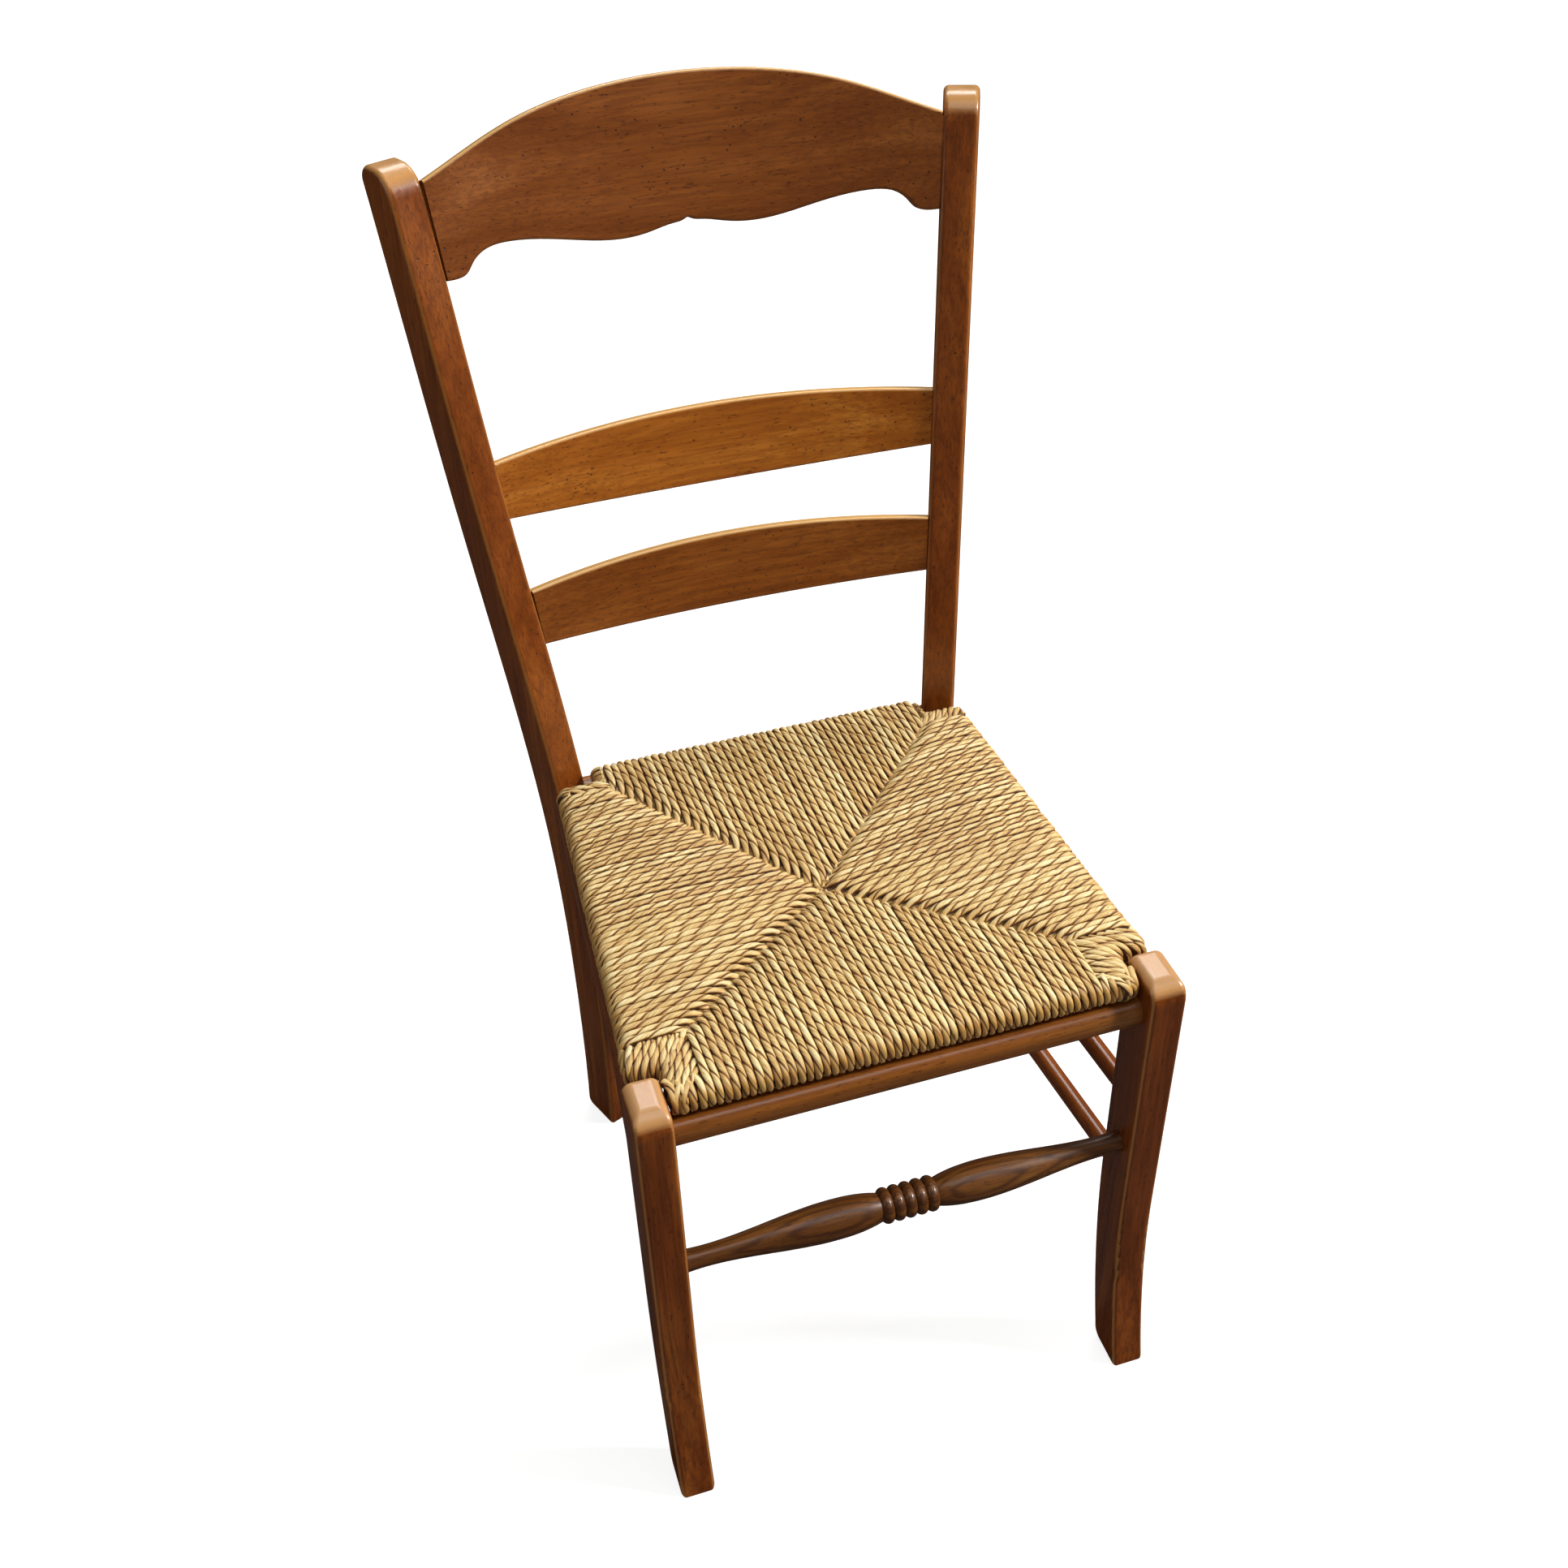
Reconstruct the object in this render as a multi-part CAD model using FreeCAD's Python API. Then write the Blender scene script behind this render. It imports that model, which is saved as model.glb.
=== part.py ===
"""Ladderback dining chair with a drop-in rush seat, built piece by piece.

Units are millimetres. +Z is up, the chair faces -Y and +X is to the right in a
front view. The origin is at the middle of the chair's footprint, on the floor.
Every joint is cut from the same values as the tenon that fills it.
"""
import os
import FreeCAD
import Part
from math import atan2, cos, degrees, radians, sin, sqrt, tan

Vec = FreeCAD.Vector
UP = Vec(0, 0, 1)
ORIGIN = Vec(0, 0, 0)

# Timber
plank_thickness = 30.5      # legs and posts are sawn from one thickness of plank
edge_round = 4.5            # worn, rounded arrises of legs and posts
foot_round = 13.0           # rounded heel of each foot

# Front legs, in side view
front_width = 441.0         # over the outsides of the front legs
leg_front = -221.0          # front face below the rounded top
leg_depth = 46.0            # front to back at the seat
leg_lean = 4.5              # how far the front face drifts forward before it sweeps
leg_back_lean = 6.0         # and the back face
leg_straight_to = 200.0     # height at which the front face begins to sweep
leg_back_straight_to = 230.0
toe_sweep = 27.5            # forward sweep of the toe
heel_sweep = 33.0
leg_top_round = 17.0        # rolled front edge of the leg's top
leg_top_back_round = 5.0
leg_shoulder_round = 9.5    # worn shoulders of the leg's top, seen from the front

# Seat
seat_height = 461.0         # top of the rush at its edge, level with the leg tops
seat_thickness = 25.0       # rush edge, top to bottom
seat_front = -205.0
seat_back = 203.0
seat_half_width_mid = 205.5  # half width at the middle of the depth
seat_taper = 0.0545         # half width lost per mm towards the back
seat_centre = -10.0         # where the four seams meet
seat_dip = 9.0              # how far the middle of the seat lies below its edge
seat_underdip = 2.0
seat_edge_round = 10.0
seat_corner_round = 11.0
seat_notch_round = 4.0
notch_clear = 6.5           # space between the rush and a leg
rush_cord = 5.5             # one layer of cord
rear_notch_x = 160.0        # the rear notches leave this half width at the back
rear_notch_y = 179.0
seam_front_x = 158.0        # where a front seam starts
seam_front_y = -142.0
seam_rear_x = 146.0
seam_rear_y = 165.0
bar_width = 28.0            # bars of the frame inside the seat
block_size = 38.0           # blocks that tie the bars at the corners
pack_gap = 0.3              # soft packing stays clear of the wood

# Rear posts: a curved line in the plank's own plane, which is turned in plan
post_turn = 22.3            # the planks' planes turn out by this angle
post_offset = 76.4          # inner face of a post from the chair's middle axis
post_depth = 43.0
post_height = 970.0
post_heel = 270.0           # back edge at the floor
post_waist = 264.5          # back edge at its most forward
post_waist_height = 180.0
post_seat = 281.0           # back edge under the seat
post_seat_height = 400.0
post_mid = 355.0            # back edge at the lower slats
post_mid_height = 678.0
post_crown = 421.0          # back edge near the top
post_crown_height = 940.0
post_tip = 428.6            # back edge where the bend ends
post_tip_height = 970.0
post_straight = 300.0       # the post runs on straight above this, then is cut to height
post_top_front_round = 24.0
post_top_back_round = 12.0
post_heel_round = 9.0

# Back: one bending form serves the crest and the slats
form_radius = 600.0
back_lean = 13.3            # lean of the boards from upright
board_thickness = 11.0
board_edge_round = 2.5
back_tenon_length = 18.0
back_tenon_cheek = 2.5      # taken off each face of the board for the tenon
back_tenon_shoulder = 5.0   # taken off the top and bottom edge for the tenon
tenon_gap = 0.1             # glue line round a flat tenon
tenon_end_gap = 1.0

crest_drop = 86.7           # from the posts' tops down to the crest's lower corners
crest_setback = 0.0         # of the board's face behind the posts' front faces
crest_end_height = 78.0
crest_end_rise = 3.0        # the end's height at the post, over its height in the post
crest_arch_height = 131.0   # top of the arch above the bottom corner
crest_lip = 16.0            # flat lip at each end of the lower edge
crest_cove_x = 152.0
crest_cove_height = 21.0
crest_lobe_x = 64.0
crest_lobe_height = 8.0
crest_cusp_height = 17.3
crest_cusp_half = 13.0

upper_drop = 196.8          # from the crest's lower corners down to this slat's
upper_setback = 5.0
upper_end_height = 48.5
upper_arch = 12.5
upper_belly = 8.5

lower_drop = 111.4          # from the upper slat's lower corners down to this slat's
lower_setback = 3.2
lower_end_height = 49.5
lower_arch = 11.5
lower_belly = 5.5

pin_radius = 3.0            # pins through the crest's tenons
pin_length = 34.0

# Seat rails
rail_height = 24.0
rail_thickness = 23.0
rail_round = 9.0
rail_tenon_radius = 8.0
rail_tenon_length = 18.0
side_rail_tenon_length = 12.0
front_rail_y = -199.0
rear_rail_inset = 28.3      # middle of the rail in front of the posts' back edges
rear_tenon_radius = 7.0
side_rail_front_x = 207.5
side_rail_rear_x = 184.0    # the rail's rear end stands proud of the post
side_rail_rear_tenon_x = 177.0

# Stretchers
glue_line = 0.05            # round a turned tenon in its socket
dowel_radius = 8.2
dowel_depth = 14.0
side_lower_height = 210.0
side_upper_height = 303.0
side_front_x = 205.0
side_rear_x = 172.0
rear_stretcher_height = 256.0
rear_stretcher_inset = 23.1
rear_stretcher_swell = 2.0
front_stretcher_y = -204.0
front_stretcher_height = 267.0
turning_end_radius = 9.4
turning_tenon_radius = 8.0
turning_bulb_radius = 16.3
turning_bulb_x = 56.0
turning_taper_hollow = 0.8  # how hollow the taper is towards its ends
turning_swell = 1.0         # how full the bulb is between its neck and its middle
bead_count = 5
bead_pitch = 9.7
bead_radius = 15.0
bead_groove_radius = 11.8

leg_outer = front_width / 2
leg_inner = leg_outer - plank_thickness
leg_back = leg_front + leg_depth
seat_bottom = seat_height - seat_thickness
rail_centre_z = seat_bottom - rail_height / 2
crest_z = post_height - crest_drop
upper_z = crest_z - upper_drop
lower_z = upper_z - lower_drop
far = 1500.0                # reach of the cutting blocks


def lift(shape):
    """The single solid of a boolean result, cleaned of seams."""
    clean = shape.removeSplitter()
    if len(clean.Solids) != 1:
        raise ValueError("expected one solid, got %d" % len(clean.Solids))
    return clean.Solids[0]


def mirror(shape):
    """The same piece for the other side of the chair."""
    return shape.mirror(ORIGIN, Vec(1, 0, 0))


def tangent_arc(start, direction, end):
    """Arc from start, leaving along direction, to end."""
    chord = end.sub(start)
    half_angle = direction.getAngle(chord)
    axis = direction.cross(chord).normalize()
    side = axis.cross(chord).normalize()
    rise = chord.Length / 2 * tan(half_angle / 2)
    middle = start.add(chord.multiply(0.5)).sub(side.multiply(rise))
    return Part.Arc(start, middle, end).toShape()


def curve(points):
    """Smooth curve through points."""
    spline = Part.BSplineCurve()
    spline.interpolate(points)
    return spline.toShape()


def line(start, end):
    return Part.LineSegment(start, end).toShape()


def prism(edges, direction):
    """Solid swept along direction from a closed loop of edges."""
    return Part.Face(Part.Wire(edges)).extrude(direction)


def edges_where(shape, test):
    """Edges whose two ends and middle all pass the test."""
    kept = []
    for edge in shape.Edges:
        first, last = edge.ParameterRange
        probes = [edge.valueAt(first + (last - first) * k) for k in (0.0, 0.5, 1.0)]
        if all(test(point) for point in probes):
            kept.append(edge)
    return kept


def near(a, b, gap=0.05):
    return abs(a - b) < gap


# Front legs

def shouldered(blank):
    """The leg's top cut to rounded shoulders, as seen along its depth."""
    side = Part.makeBox(
        plank_thickness, 2 * far, far + seat_height, Vec(leg_inner, -far, -far))
    top = edges_where(side, lambda p: near(p.z, seat_height) and (
        near(p.x, leg_inner) or near(p.x, leg_outer)))
    return blank.common(side.makeFillet(leg_shoulder_round, top))


def front_leg_right():
    """One right front leg: a sabre profile sawn from the plank, arrises worn round."""
    x = leg_inner
    top_front = Vec(x, leg_front, seat_height)
    knee_front = Vec(x, leg_front - leg_lean, leg_straight_to)
    toe = Vec(x, leg_front - leg_lean - toe_sweep, 0)
    top_back = Vec(x, leg_back, seat_height)
    knee_back = Vec(x, leg_back - leg_back_lean, leg_back_straight_to)
    heel = Vec(x, leg_back - leg_back_lean - heel_sweep, 0)
    profile = [
        line(top_front, knee_front),
        tangent_arc(knee_front, knee_front.sub(top_front), toe),
        line(toe, heel),
        tangent_arc(knee_back, knee_back.sub(top_back), heel),
        line(knee_back, top_back),
        line(top_back, top_front),
    ]
    blank = prism(Part.__sortEdges__(profile), Vec(plank_thickness, 0, 0))
    corners = (
        (top_front, leg_top_round),
        (top_back, leg_top_back_round),
        (heel, foot_round),
    )
    for corner, radius in corners:
        across = edges_where(blank, lambda p: near(p.y, corner.y) and near(p.z, corner.z))
        blank = blank.makeFillet(radius, across)
    blank = shouldered(blank)
    arrises = edges_where(
        blank,
        lambda p: (near(p.x, leg_inner) or near(p.x, leg_outer)))
    arrises = [edge for edge in arrises if edge.BoundBox.ZMax > 0.01]
    return lift(blank.makeFillet(edge_round, arrises))


# Rear posts

def post_frame(shape):
    """Turn a shape from the plank's own plane (x = offset, y = depth) into place."""
    turned = shape.copy()
    turned.rotate(ORIGIN, UP, -post_turn)
    return turned


def post_edge(x, shift):
    """Line of the post's back edge moved forward by shift: curved, then straight."""
    points = [
        Vec(x, post_heel - shift, 0.0),
        Vec(x, post_waist - shift, post_waist_height),
        Vec(x, post_seat - shift, post_seat_height),
        Vec(x, post_mid - shift, post_mid_height),
        Vec(x, post_crown - shift, post_crown_height),
        Vec(x, post_tip - shift, post_tip_height),
    ]
    bend = curve(points)
    run_on = bend.tangentAt(bend.LastParameter)
    run_on.multiply(post_straight)
    return [bend, line(points[-1], points[-1].add(run_on))]


def post_depth_at(height):
    """Depth of the post's back edge at a height, in the plank's own plane."""
    edge = Part.Wire(post_edge(0.0, 0.0))
    slicer = Part.makePlane(2 * far, 2 * far, Vec(-far, -far, height), UP)
    return edge.section(slicer).Vertexes[0].Point.y


def on_inner_face(depth):
    """The point (x, y) of the right post's inner face at a depth in the plank's plane."""
    turn = radians(post_turn)
    x = post_offset * cos(turn) + depth * sin(turn)
    y = depth * cos(turn) - post_offset * sin(turn)
    return x, y


def rear_post_right():
    """One right rear post, leg and upright in one, sawn from the plank."""
    x = post_offset
    back = post_edge(x, 0.0)
    front = post_edge(x, post_depth)
    tops = [edges[1].lastVertex(True).Point for edges in (back, front)]
    heels = [edges[0].firstVertex(True).Point for edges in (back, front)]
    profile = back + front + [line(*tops), line(*heels)]
    plank = prism(Part.__sortEdges__(profile), Vec(plank_thickness, 0, 0))
    blank = plank.common(Part.makeBox(far, far, post_height, Vec(0, 0, 0)))
    top_depth = post_depth_at(post_height)
    corners = (
        (Vec(x, top_depth - post_depth, post_height), post_top_front_round),
        (Vec(x, top_depth, post_height), post_top_back_round),
        (Vec(x, post_heel, 0), post_heel_round),
    )
    for corner, radius in corners:
        across = edges_where(blank, lambda p: near(p.y, corner.y) and near(p.z, corner.z))
        blank = blank.makeFillet(radius, across)
    arrises = edges_where(
        blank,
        lambda p: near(p.x, post_offset) or near(p.x, post_offset + plank_thickness))
    arrises = [edge for edge in arrises if edge.BoundBox.ZMax > 0.01]
    return lift(post_frame(blank.makeFillet(edge_round, arrises)))


def beyond_post(start, end):
    """Block on the right side between two offsets from the chair's middle axis."""
    block = Part.makeBox(end - start, 2 * far, 2 * far, Vec(start, -far, -far))
    return post_frame(block)


# Boards of the back

def board_place(shape, y, z):
    """Lean a board back and set its bottom corner line at y, z."""
    placed = shape.copy()
    placed.rotate(ORIGIN, Vec(1, 0, 0), -back_lean)
    placed.translate(Vec(0, y, z))
    return placed


def bent_sheet(half, inset, low, high):
    """Curved sheet of the board's thickness, less inset on each face.

    Its front face passes through the end points at half width, so the middle of
    the board lies behind the ends.
    """
    centre_y = -sqrt(form_radius ** 2 - half ** 2)
    centre = Vec(0, centre_y, low)
    inner = form_radius + inset
    outer = form_radius + board_thickness - inset
    ring = Part.makeCylinder(outer, high - low, centre)
    return ring.cut(Part.makeCylinder(inner, high - low, centre))


def outline_block(edges):
    """Prism of a board's front outline, deep enough for the bend."""
    block = prism(edges, Vec(0, form_radius / 2, 0))
    block.translate(Vec(0, -form_radius / 8, 0))
    return block


def mirrored_points(points):
    """Points of a right half outline, then of its left half, as one list."""
    return [Vec(-p.x, p.y, p.z) for p in reversed(points) if p.x > 0.01] + points


def crest_outline(half, reach):
    """Arched top and scalloped lower edge of the crest, drawn flat."""
    lip = half - crest_lip
    cove_run = crest_cove_x - crest_lobe_x
    lobe_rise = crest_cove_height - crest_lobe_height
    cusp_fall = crest_cusp_height - crest_lobe_height
    lower = [
        Vec(0, 0, crest_cusp_height),
        Vec(crest_cusp_half * 0.2, 0, crest_cusp_height - cusp_fall * 0.11),
        Vec(crest_cusp_half, 0, crest_cusp_height - cusp_fall * 0.35),
        Vec(crest_cusp_half * 2.6, 0, crest_lobe_height + cusp_fall * 0.2),
        Vec(crest_lobe_x, 0, crest_lobe_height),
        Vec(crest_lobe_x + cove_run * 0.5, 0, crest_lobe_height + lobe_rise * 0.54),
        Vec(crest_cove_x, 0, crest_cove_height),
        Vec(crest_cove_x + crest_lip * 1.5, 0, crest_cove_height * 0.84),
        Vec(lip - crest_lip * 0.45, 0, crest_cove_height * 0.5),
        Vec(lip, 0, crest_cove_height * 0.11),
        Vec(lip + crest_lip * 0.5, 0, 0),
        Vec(reach, 0, 0),
    ]
    arch = [
        Vec(0, 0, crest_arch_height),
        Vec(half * 0.33, 0, crest_arch_height * 0.966),
        Vec(half * 0.66, 0, crest_arch_height * 0.847),
        Vec(half, 0, crest_end_height + crest_end_rise),
        Vec(reach, 0, crest_end_height - plank_thickness * 0.3),
    ]
    ends = [
        line(Vec(side * reach, 0, 0), Vec(side * reach, 0, arch[-1].z))
        for side in (-1, 1)
    ]
    edges = [curve(mirrored_points(lower)), curve(mirrored_points(arch))]
    return Part.__sortEdges__(edges + ends)


def slat_outline(end_height, arch, belly, reach):
    """A slat drawn flat: arched above, slightly bellied below."""
    upper = Part.Arc(
        Vec(-reach, 0, end_height), Vec(0, 0, end_height + arch), Vec(reach, 0, end_height))
    lower = Part.Arc(Vec(-reach, 0, 0), Vec(0, 0, -belly), Vec(reach, 0, 0))
    ends = [
        line(Vec(side * reach, 0, 0), Vec(side * reach, 0, end_height))
        for side in (-1, 1)
    ]
    return Part.__sortEdges__([upper.toShape(), lower.toShape()] + ends)


def back_board(outline, half, y, z, low, high):
    """A bent board trimmed to the inner faces of the posts, edges eased."""
    board = bent_sheet(half, 0.0, low, high).common(outline_block(outline))
    board = board_place(board, y, z)
    right = beyond_post(post_offset, far)
    board = board.cut(right).cut(mirror(right))
    board = lift(board)
    long_edges = [
        edge for edge in board.Edges
        if edge.BoundBox.XLength > half * 0.12 and edge.Length > half * 0.12
    ]
    return lift(board.makeFillet(board_edge_round, long_edges))


def back_tenon(half, y, z, low, high, grow):
    """Right tenon of a board, or its mortise when grow is the glue line."""
    sheet = bent_sheet(half, back_tenon_cheek - grow, low - grow, high + grow)
    sheet = board_place(sheet, y, z)
    extra = tenon_end_gap if grow else 0.0
    reach = beyond_post(post_offset, post_offset + back_tenon_length + extra)
    keep = Part.makeBox(far, far, far, Vec(0, y - far / 20, 0))
    return sheet.common(reach).common(keep)


def tenoned(board, half, y, z, low, high):
    """The board with both tenons."""
    tenon = back_tenon(half, y, z, low, high, 0.0)
    return lift(board.fuse([tenon, mirror(tenon)]))


def board_corner(height, setback):
    """Half width and y of a board's lower corner, at the posts' inner faces."""
    return on_inner_face(post_depth_at(height) - post_depth + setback)


def board_joints():
    """Half width, y, z, and the height range of the tenon of each board."""
    shoulder = back_tenon_shoulder
    boards = (
        ("crest_rail", crest_z, crest_setback, crest_end_height),
        ("upper_slat", upper_z, upper_setback, upper_end_height),
        ("lower_slat", lower_z, lower_setback, lower_end_height),
    )
    return {
        name: (*board_corner(height, setback), height, shoulder, end_height - shoulder)
        for name, height, setback, end_height in boards
    }


def crest_rail():
    half, y, z, low, high = board_joints()["crest_rail"]
    outline = crest_outline(half, half + plank_thickness)
    board = back_board(outline, half, y, z, -crest_arch_height, 2 * crest_arch_height)
    return tenoned(board, half, y, z, low, high)


def slat(name, end_height, arch, belly):
    half, y, z, low, high = board_joints()[name]
    outline = slat_outline(end_height, arch, belly, half + board_thickness)
    board = back_board(outline, half, y, z, -end_height, 2 * end_height)
    return tenoned(board, half, y, z, low, high)


def crest_pin_right():
    """Pin driven from behind through the crest's right tenon, a little long."""
    half, y, z, low, high = board_joints()["crest_rail"]
    height = z + (low + high) / 2
    spare = pin_radius * 2
    start = Vec(post_offset + back_tenon_length / 2, post_depth_at(height) + spare, height)
    pin = Part.makeCylinder(pin_radius, pin_length + spare, start, Vec(0, -1, 0))
    return post_frame(pin)


# Seat rails

def rounded_bar(length, height, thickness, radius):
    """Bar along +X from the origin, with rounded long edges."""
    bar = Part.makeBox(length, thickness, height, Vec(0, -thickness / 2, -height / 2))
    along = edges_where(bar, lambda p: near(abs(p.y), thickness / 2) and near(abs(p.z), height / 2))
    return bar.makeFillet(radius, along)


def round_tenon(start, direction, length, radius, grow=0.0):
    """Turned tenon, or its socket when grow is the glue line."""
    return Part.makeCylinder(radius + grow, length, start, direction)


def front_rail():
    bar = rounded_bar(2 * leg_inner, rail_height, rail_thickness, rail_round)
    bar.translate(Vec(-leg_inner, front_rail_y, rail_centre_z))
    tenon = front_rail_tenon()
    return lift(bar.fuse([tenon, mirror(tenon)]))


def front_rail_tenon(grow=0.0):
    start = Vec(leg_inner, front_rail_y, rail_centre_z)
    return round_tenon(start, Vec(1, 0, 0), rail_tenon_length, rail_tenon_radius, grow)


def rear_rail():
    """Rear rail between the turned inner faces of the posts."""
    x, y = on_inner_face(post_depth_at(rail_centre_z) - rear_rail_inset)
    reach = x + rail_thickness
    bar = rounded_bar(2 * reach, rail_height, rail_thickness, rail_round)
    bar.translate(Vec(-reach, y, rail_centre_z))
    right = beyond_post(post_offset, far)
    bar = bar.cut(right).cut(mirror(right))
    tenon = rear_rail_tenon()
    return lift(bar.fuse([tenon, mirror(tenon)]))


def rear_rail_tenon(grow=0.0):
    """Right tenon of the rear rail, begun inside the rail."""
    x, y = on_inner_face(post_depth_at(rail_centre_z) - rear_rail_inset)
    root = rail_thickness / 2
    return round_tenon(Vec(x - root, y, rail_centre_z), Vec(1, 0, 0),
                       root + rail_tenon_length, rear_tenon_radius, grow)


def side_line(front_x, rear_x, height):
    """Where a right side member meets the leg's back and the post's front."""
    turn = radians(post_turn)
    depth = post_depth_at(height) - post_depth
    rear_y = (depth - rear_x * sin(turn)) / cos(turn)
    drop = (seat_height - height) / (seat_height - leg_back_straight_to)
    front_y = leg_back - leg_back_lean * drop
    return Vec(front_x, front_y, height), Vec(rear_x, rear_y, height)


def bar_between(start, end, overrun, section):
    """A section drawn along +X, laid from start to end and run on at both ends."""
    run = end.sub(start)
    bar = section(run.Length + 2 * overrun)
    bar.translate(Vec(-overrun, 0, 0))
    bar.rotate(ORIGIN, UP, degrees(atan2(run.y, run.x)))
    bar.translate(start)
    return bar


def side_rail_tenons(grow=0.0):
    """Front and rear tenons of the right seat rail, each begun inside the rail."""
    start, end = side_line(side_rail_front_x, side_rail_rear_tenon_x, rail_centre_z)
    root = rail_height / 2
    length = root + side_rail_tenon_length
    front = round_tenon(start.add(Vec(0, root, 0)), Vec(0, -1, 0), length,
                        rail_tenon_radius, grow)
    rear = round_tenon(end.sub(Vec(0, root, 0)), Vec(0, 1, 0), length,
                       rear_tenon_radius, grow)
    return front, rear


def side_rail_right(leg, post):
    """Right seat rail, coped to the leg and the post, its proud rear end rounded."""
    start, end = side_line(side_rail_front_x, side_rail_rear_x, rail_centre_z)
    bar = bar_between(start, end, plank_thickness,
                      lambda reach: rounded_bar(reach, rail_height, rail_thickness, rail_round))
    depth = post_depth_at(rail_centre_z) - post_depth + edge_round
    bar = bar.cut(post_frame(Part.makeBox(2 * far, far, 2 * far, Vec(-far, depth, -far))))
    corner = Vec(end.x + rail_thickness / 2, end.y, seat_bottom - rail_height)
    hollow = corner.sub(Vec(rail_round, rail_round, 0))
    tool = Part.makeBox(far, far, rail_height, hollow)
    bar = bar.cut(tool.cut(Part.makeCylinder(rail_round, rail_height, hollow)))
    ahead = Part.makeBox(2 * far, far, 2 * far, Vec(-far, start.y - edge_round - far, -far))
    bar = bar.cut(ahead).cut(leg).cut(post)
    bar = max(bar.Solids, key=lambda solid: solid.Volume)
    return lift(bar.fuse(list(side_rail_tenons())))


# Stretchers

def side_stretcher_right(height, grow=0.0):
    """Plain round stretcher run into its sockets at both ends."""
    start, end = side_line(side_front_x, side_rear_x, height)
    run = end.sub(start)
    run.normalize()
    length = end.sub(start).Length + 2 * dowel_depth
    begin = start.sub(Vec(run.x, run.y, run.z).multiply(dowel_depth))
    return Part.makeCylinder(dowel_radius + grow, length, begin, run)


def revolve_x(edges, first, last):
    """Turn a profile in the XZ plane about the X axis, closed along the axis."""
    closing = [
        line(last, Vec(last.x, 0, 0)),
        line(Vec(last.x, 0, 0), Vec(first.x, 0, 0)),
        line(Vec(first.x, 0, 0), first),
    ]
    face = Part.Face(Part.Wire(Part.__sortEdges__(edges + closing)))
    return face.revolve(ORIGIN, Vec(1, 0, 0), 360)


def bead_profile(centre):
    """Arc of one bead, between the grooves on its two sides."""
    half = bead_pitch / 2
    return Part.Arc(
        Vec(centre - half, 0, bead_groove_radius),
        Vec(centre, 0, bead_radius),
        Vec(centre + half, 0, bead_groove_radius)).toShape()


def front_stretcher_tenon(grow=0.0):
    start = Vec(leg_inner, front_stretcher_y, front_stretcher_height)
    return round_tenon(start, Vec(1, 0, 0), rail_tenon_length, turning_tenon_radius, grow)


def front_stretcher():
    """Turned stretcher: beads at the middle, a long bulb to each side."""
    reach = bead_count * bead_pitch / 2
    beads = [bead_profile((k - (bead_count - 1) / 2) * bead_pitch) for k in range(bead_count)]
    taper = (turning_bulb_radius + turning_end_radius) / 2 - turning_taper_hollow
    bulb = [
        Vec(reach, 0, bead_groove_radius),
        Vec((reach + turning_bulb_x) / 2, 0, (bead_groove_radius + turning_bulb_radius) / 2 + turning_swell),
        Vec(turning_bulb_x, 0, turning_bulb_radius),
        Vec((turning_bulb_x + leg_inner) / 2, 0, taper),
        Vec(leg_inner, 0, turning_end_radius),
    ]
    right = curve(bulb)
    left = right.mirror(ORIGIN, Vec(1, 0, 0))
    body = revolve_x(beads + [right, left], Vec(-leg_inner, 0, turning_end_radius), bulb[-1])
    body.translate(Vec(0, front_stretcher_y, front_stretcher_height))
    tenon = front_stretcher_tenon()
    return lift(body.fuse([tenon, mirror(tenon)]))


def rear_stretcher_end():
    """Where the rear stretcher's axis meets the right post's inner face."""
    x, y = on_inner_face(post_depth_at(rear_stretcher_height) - rear_stretcher_inset)
    return Vec(x, y, rear_stretcher_height)


def rear_stretcher_tenon(grow=0.0):
    """Right tenon of the rear stretcher, begun inside the stretcher."""
    start = rear_stretcher_end().sub(Vec(dowel_depth, 0, 0))
    return round_tenon(start, Vec(1, 0, 0), 2 * dowel_depth, rear_tenon_radius, grow)


def rear_stretcher():
    """Plain rear stretcher, slightly fuller at its middle."""
    end = rear_stretcher_end()
    reach = end.x + dowel_depth
    belly = dowel_radius + rear_stretcher_swell
    ends = (Vec(-reach, 0, dowel_radius), Vec(reach, 0, dowel_radius))
    swell = Part.Arc(ends[0], Vec(0, 0, belly), ends[1]).toShape()
    body = revolve_x([swell], *ends)
    body.translate(Vec(0, end.y, end.z))
    right = beyond_post(post_offset, far)
    body = body.cut(right).cut(mirror(right))
    tenon = rear_stretcher_tenon()
    return lift(body.fuse([tenon, mirror(tenon)]))


# Rush seat

def half_width(y):
    """Half width of the rush at a given y."""
    return seat_half_width_mid - seat_taper * y


def seat_outline(inset):
    """Plan of the seat with its four notches, drawn in by inset."""
    inner_x = leg_inner - notch_clear - inset
    front_step = leg_back + notch_clear + inset
    rear_step = rear_notch_y - inset
    right = [
        Vec(inner_x, seat_front + inset, 0),
        Vec(inner_x, front_step, 0),
        Vec(half_width(front_step) - inset, front_step, 0),
        Vec(half_width(rear_step) - inset, rear_step, 0),
        Vec(rear_notch_x - inset, rear_step, 0),
        Vec(rear_notch_x - inset, seat_back - inset, 0),
    ]
    return right + [Vec(-p.x, p.y, 0) for p in reversed(right)]


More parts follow.
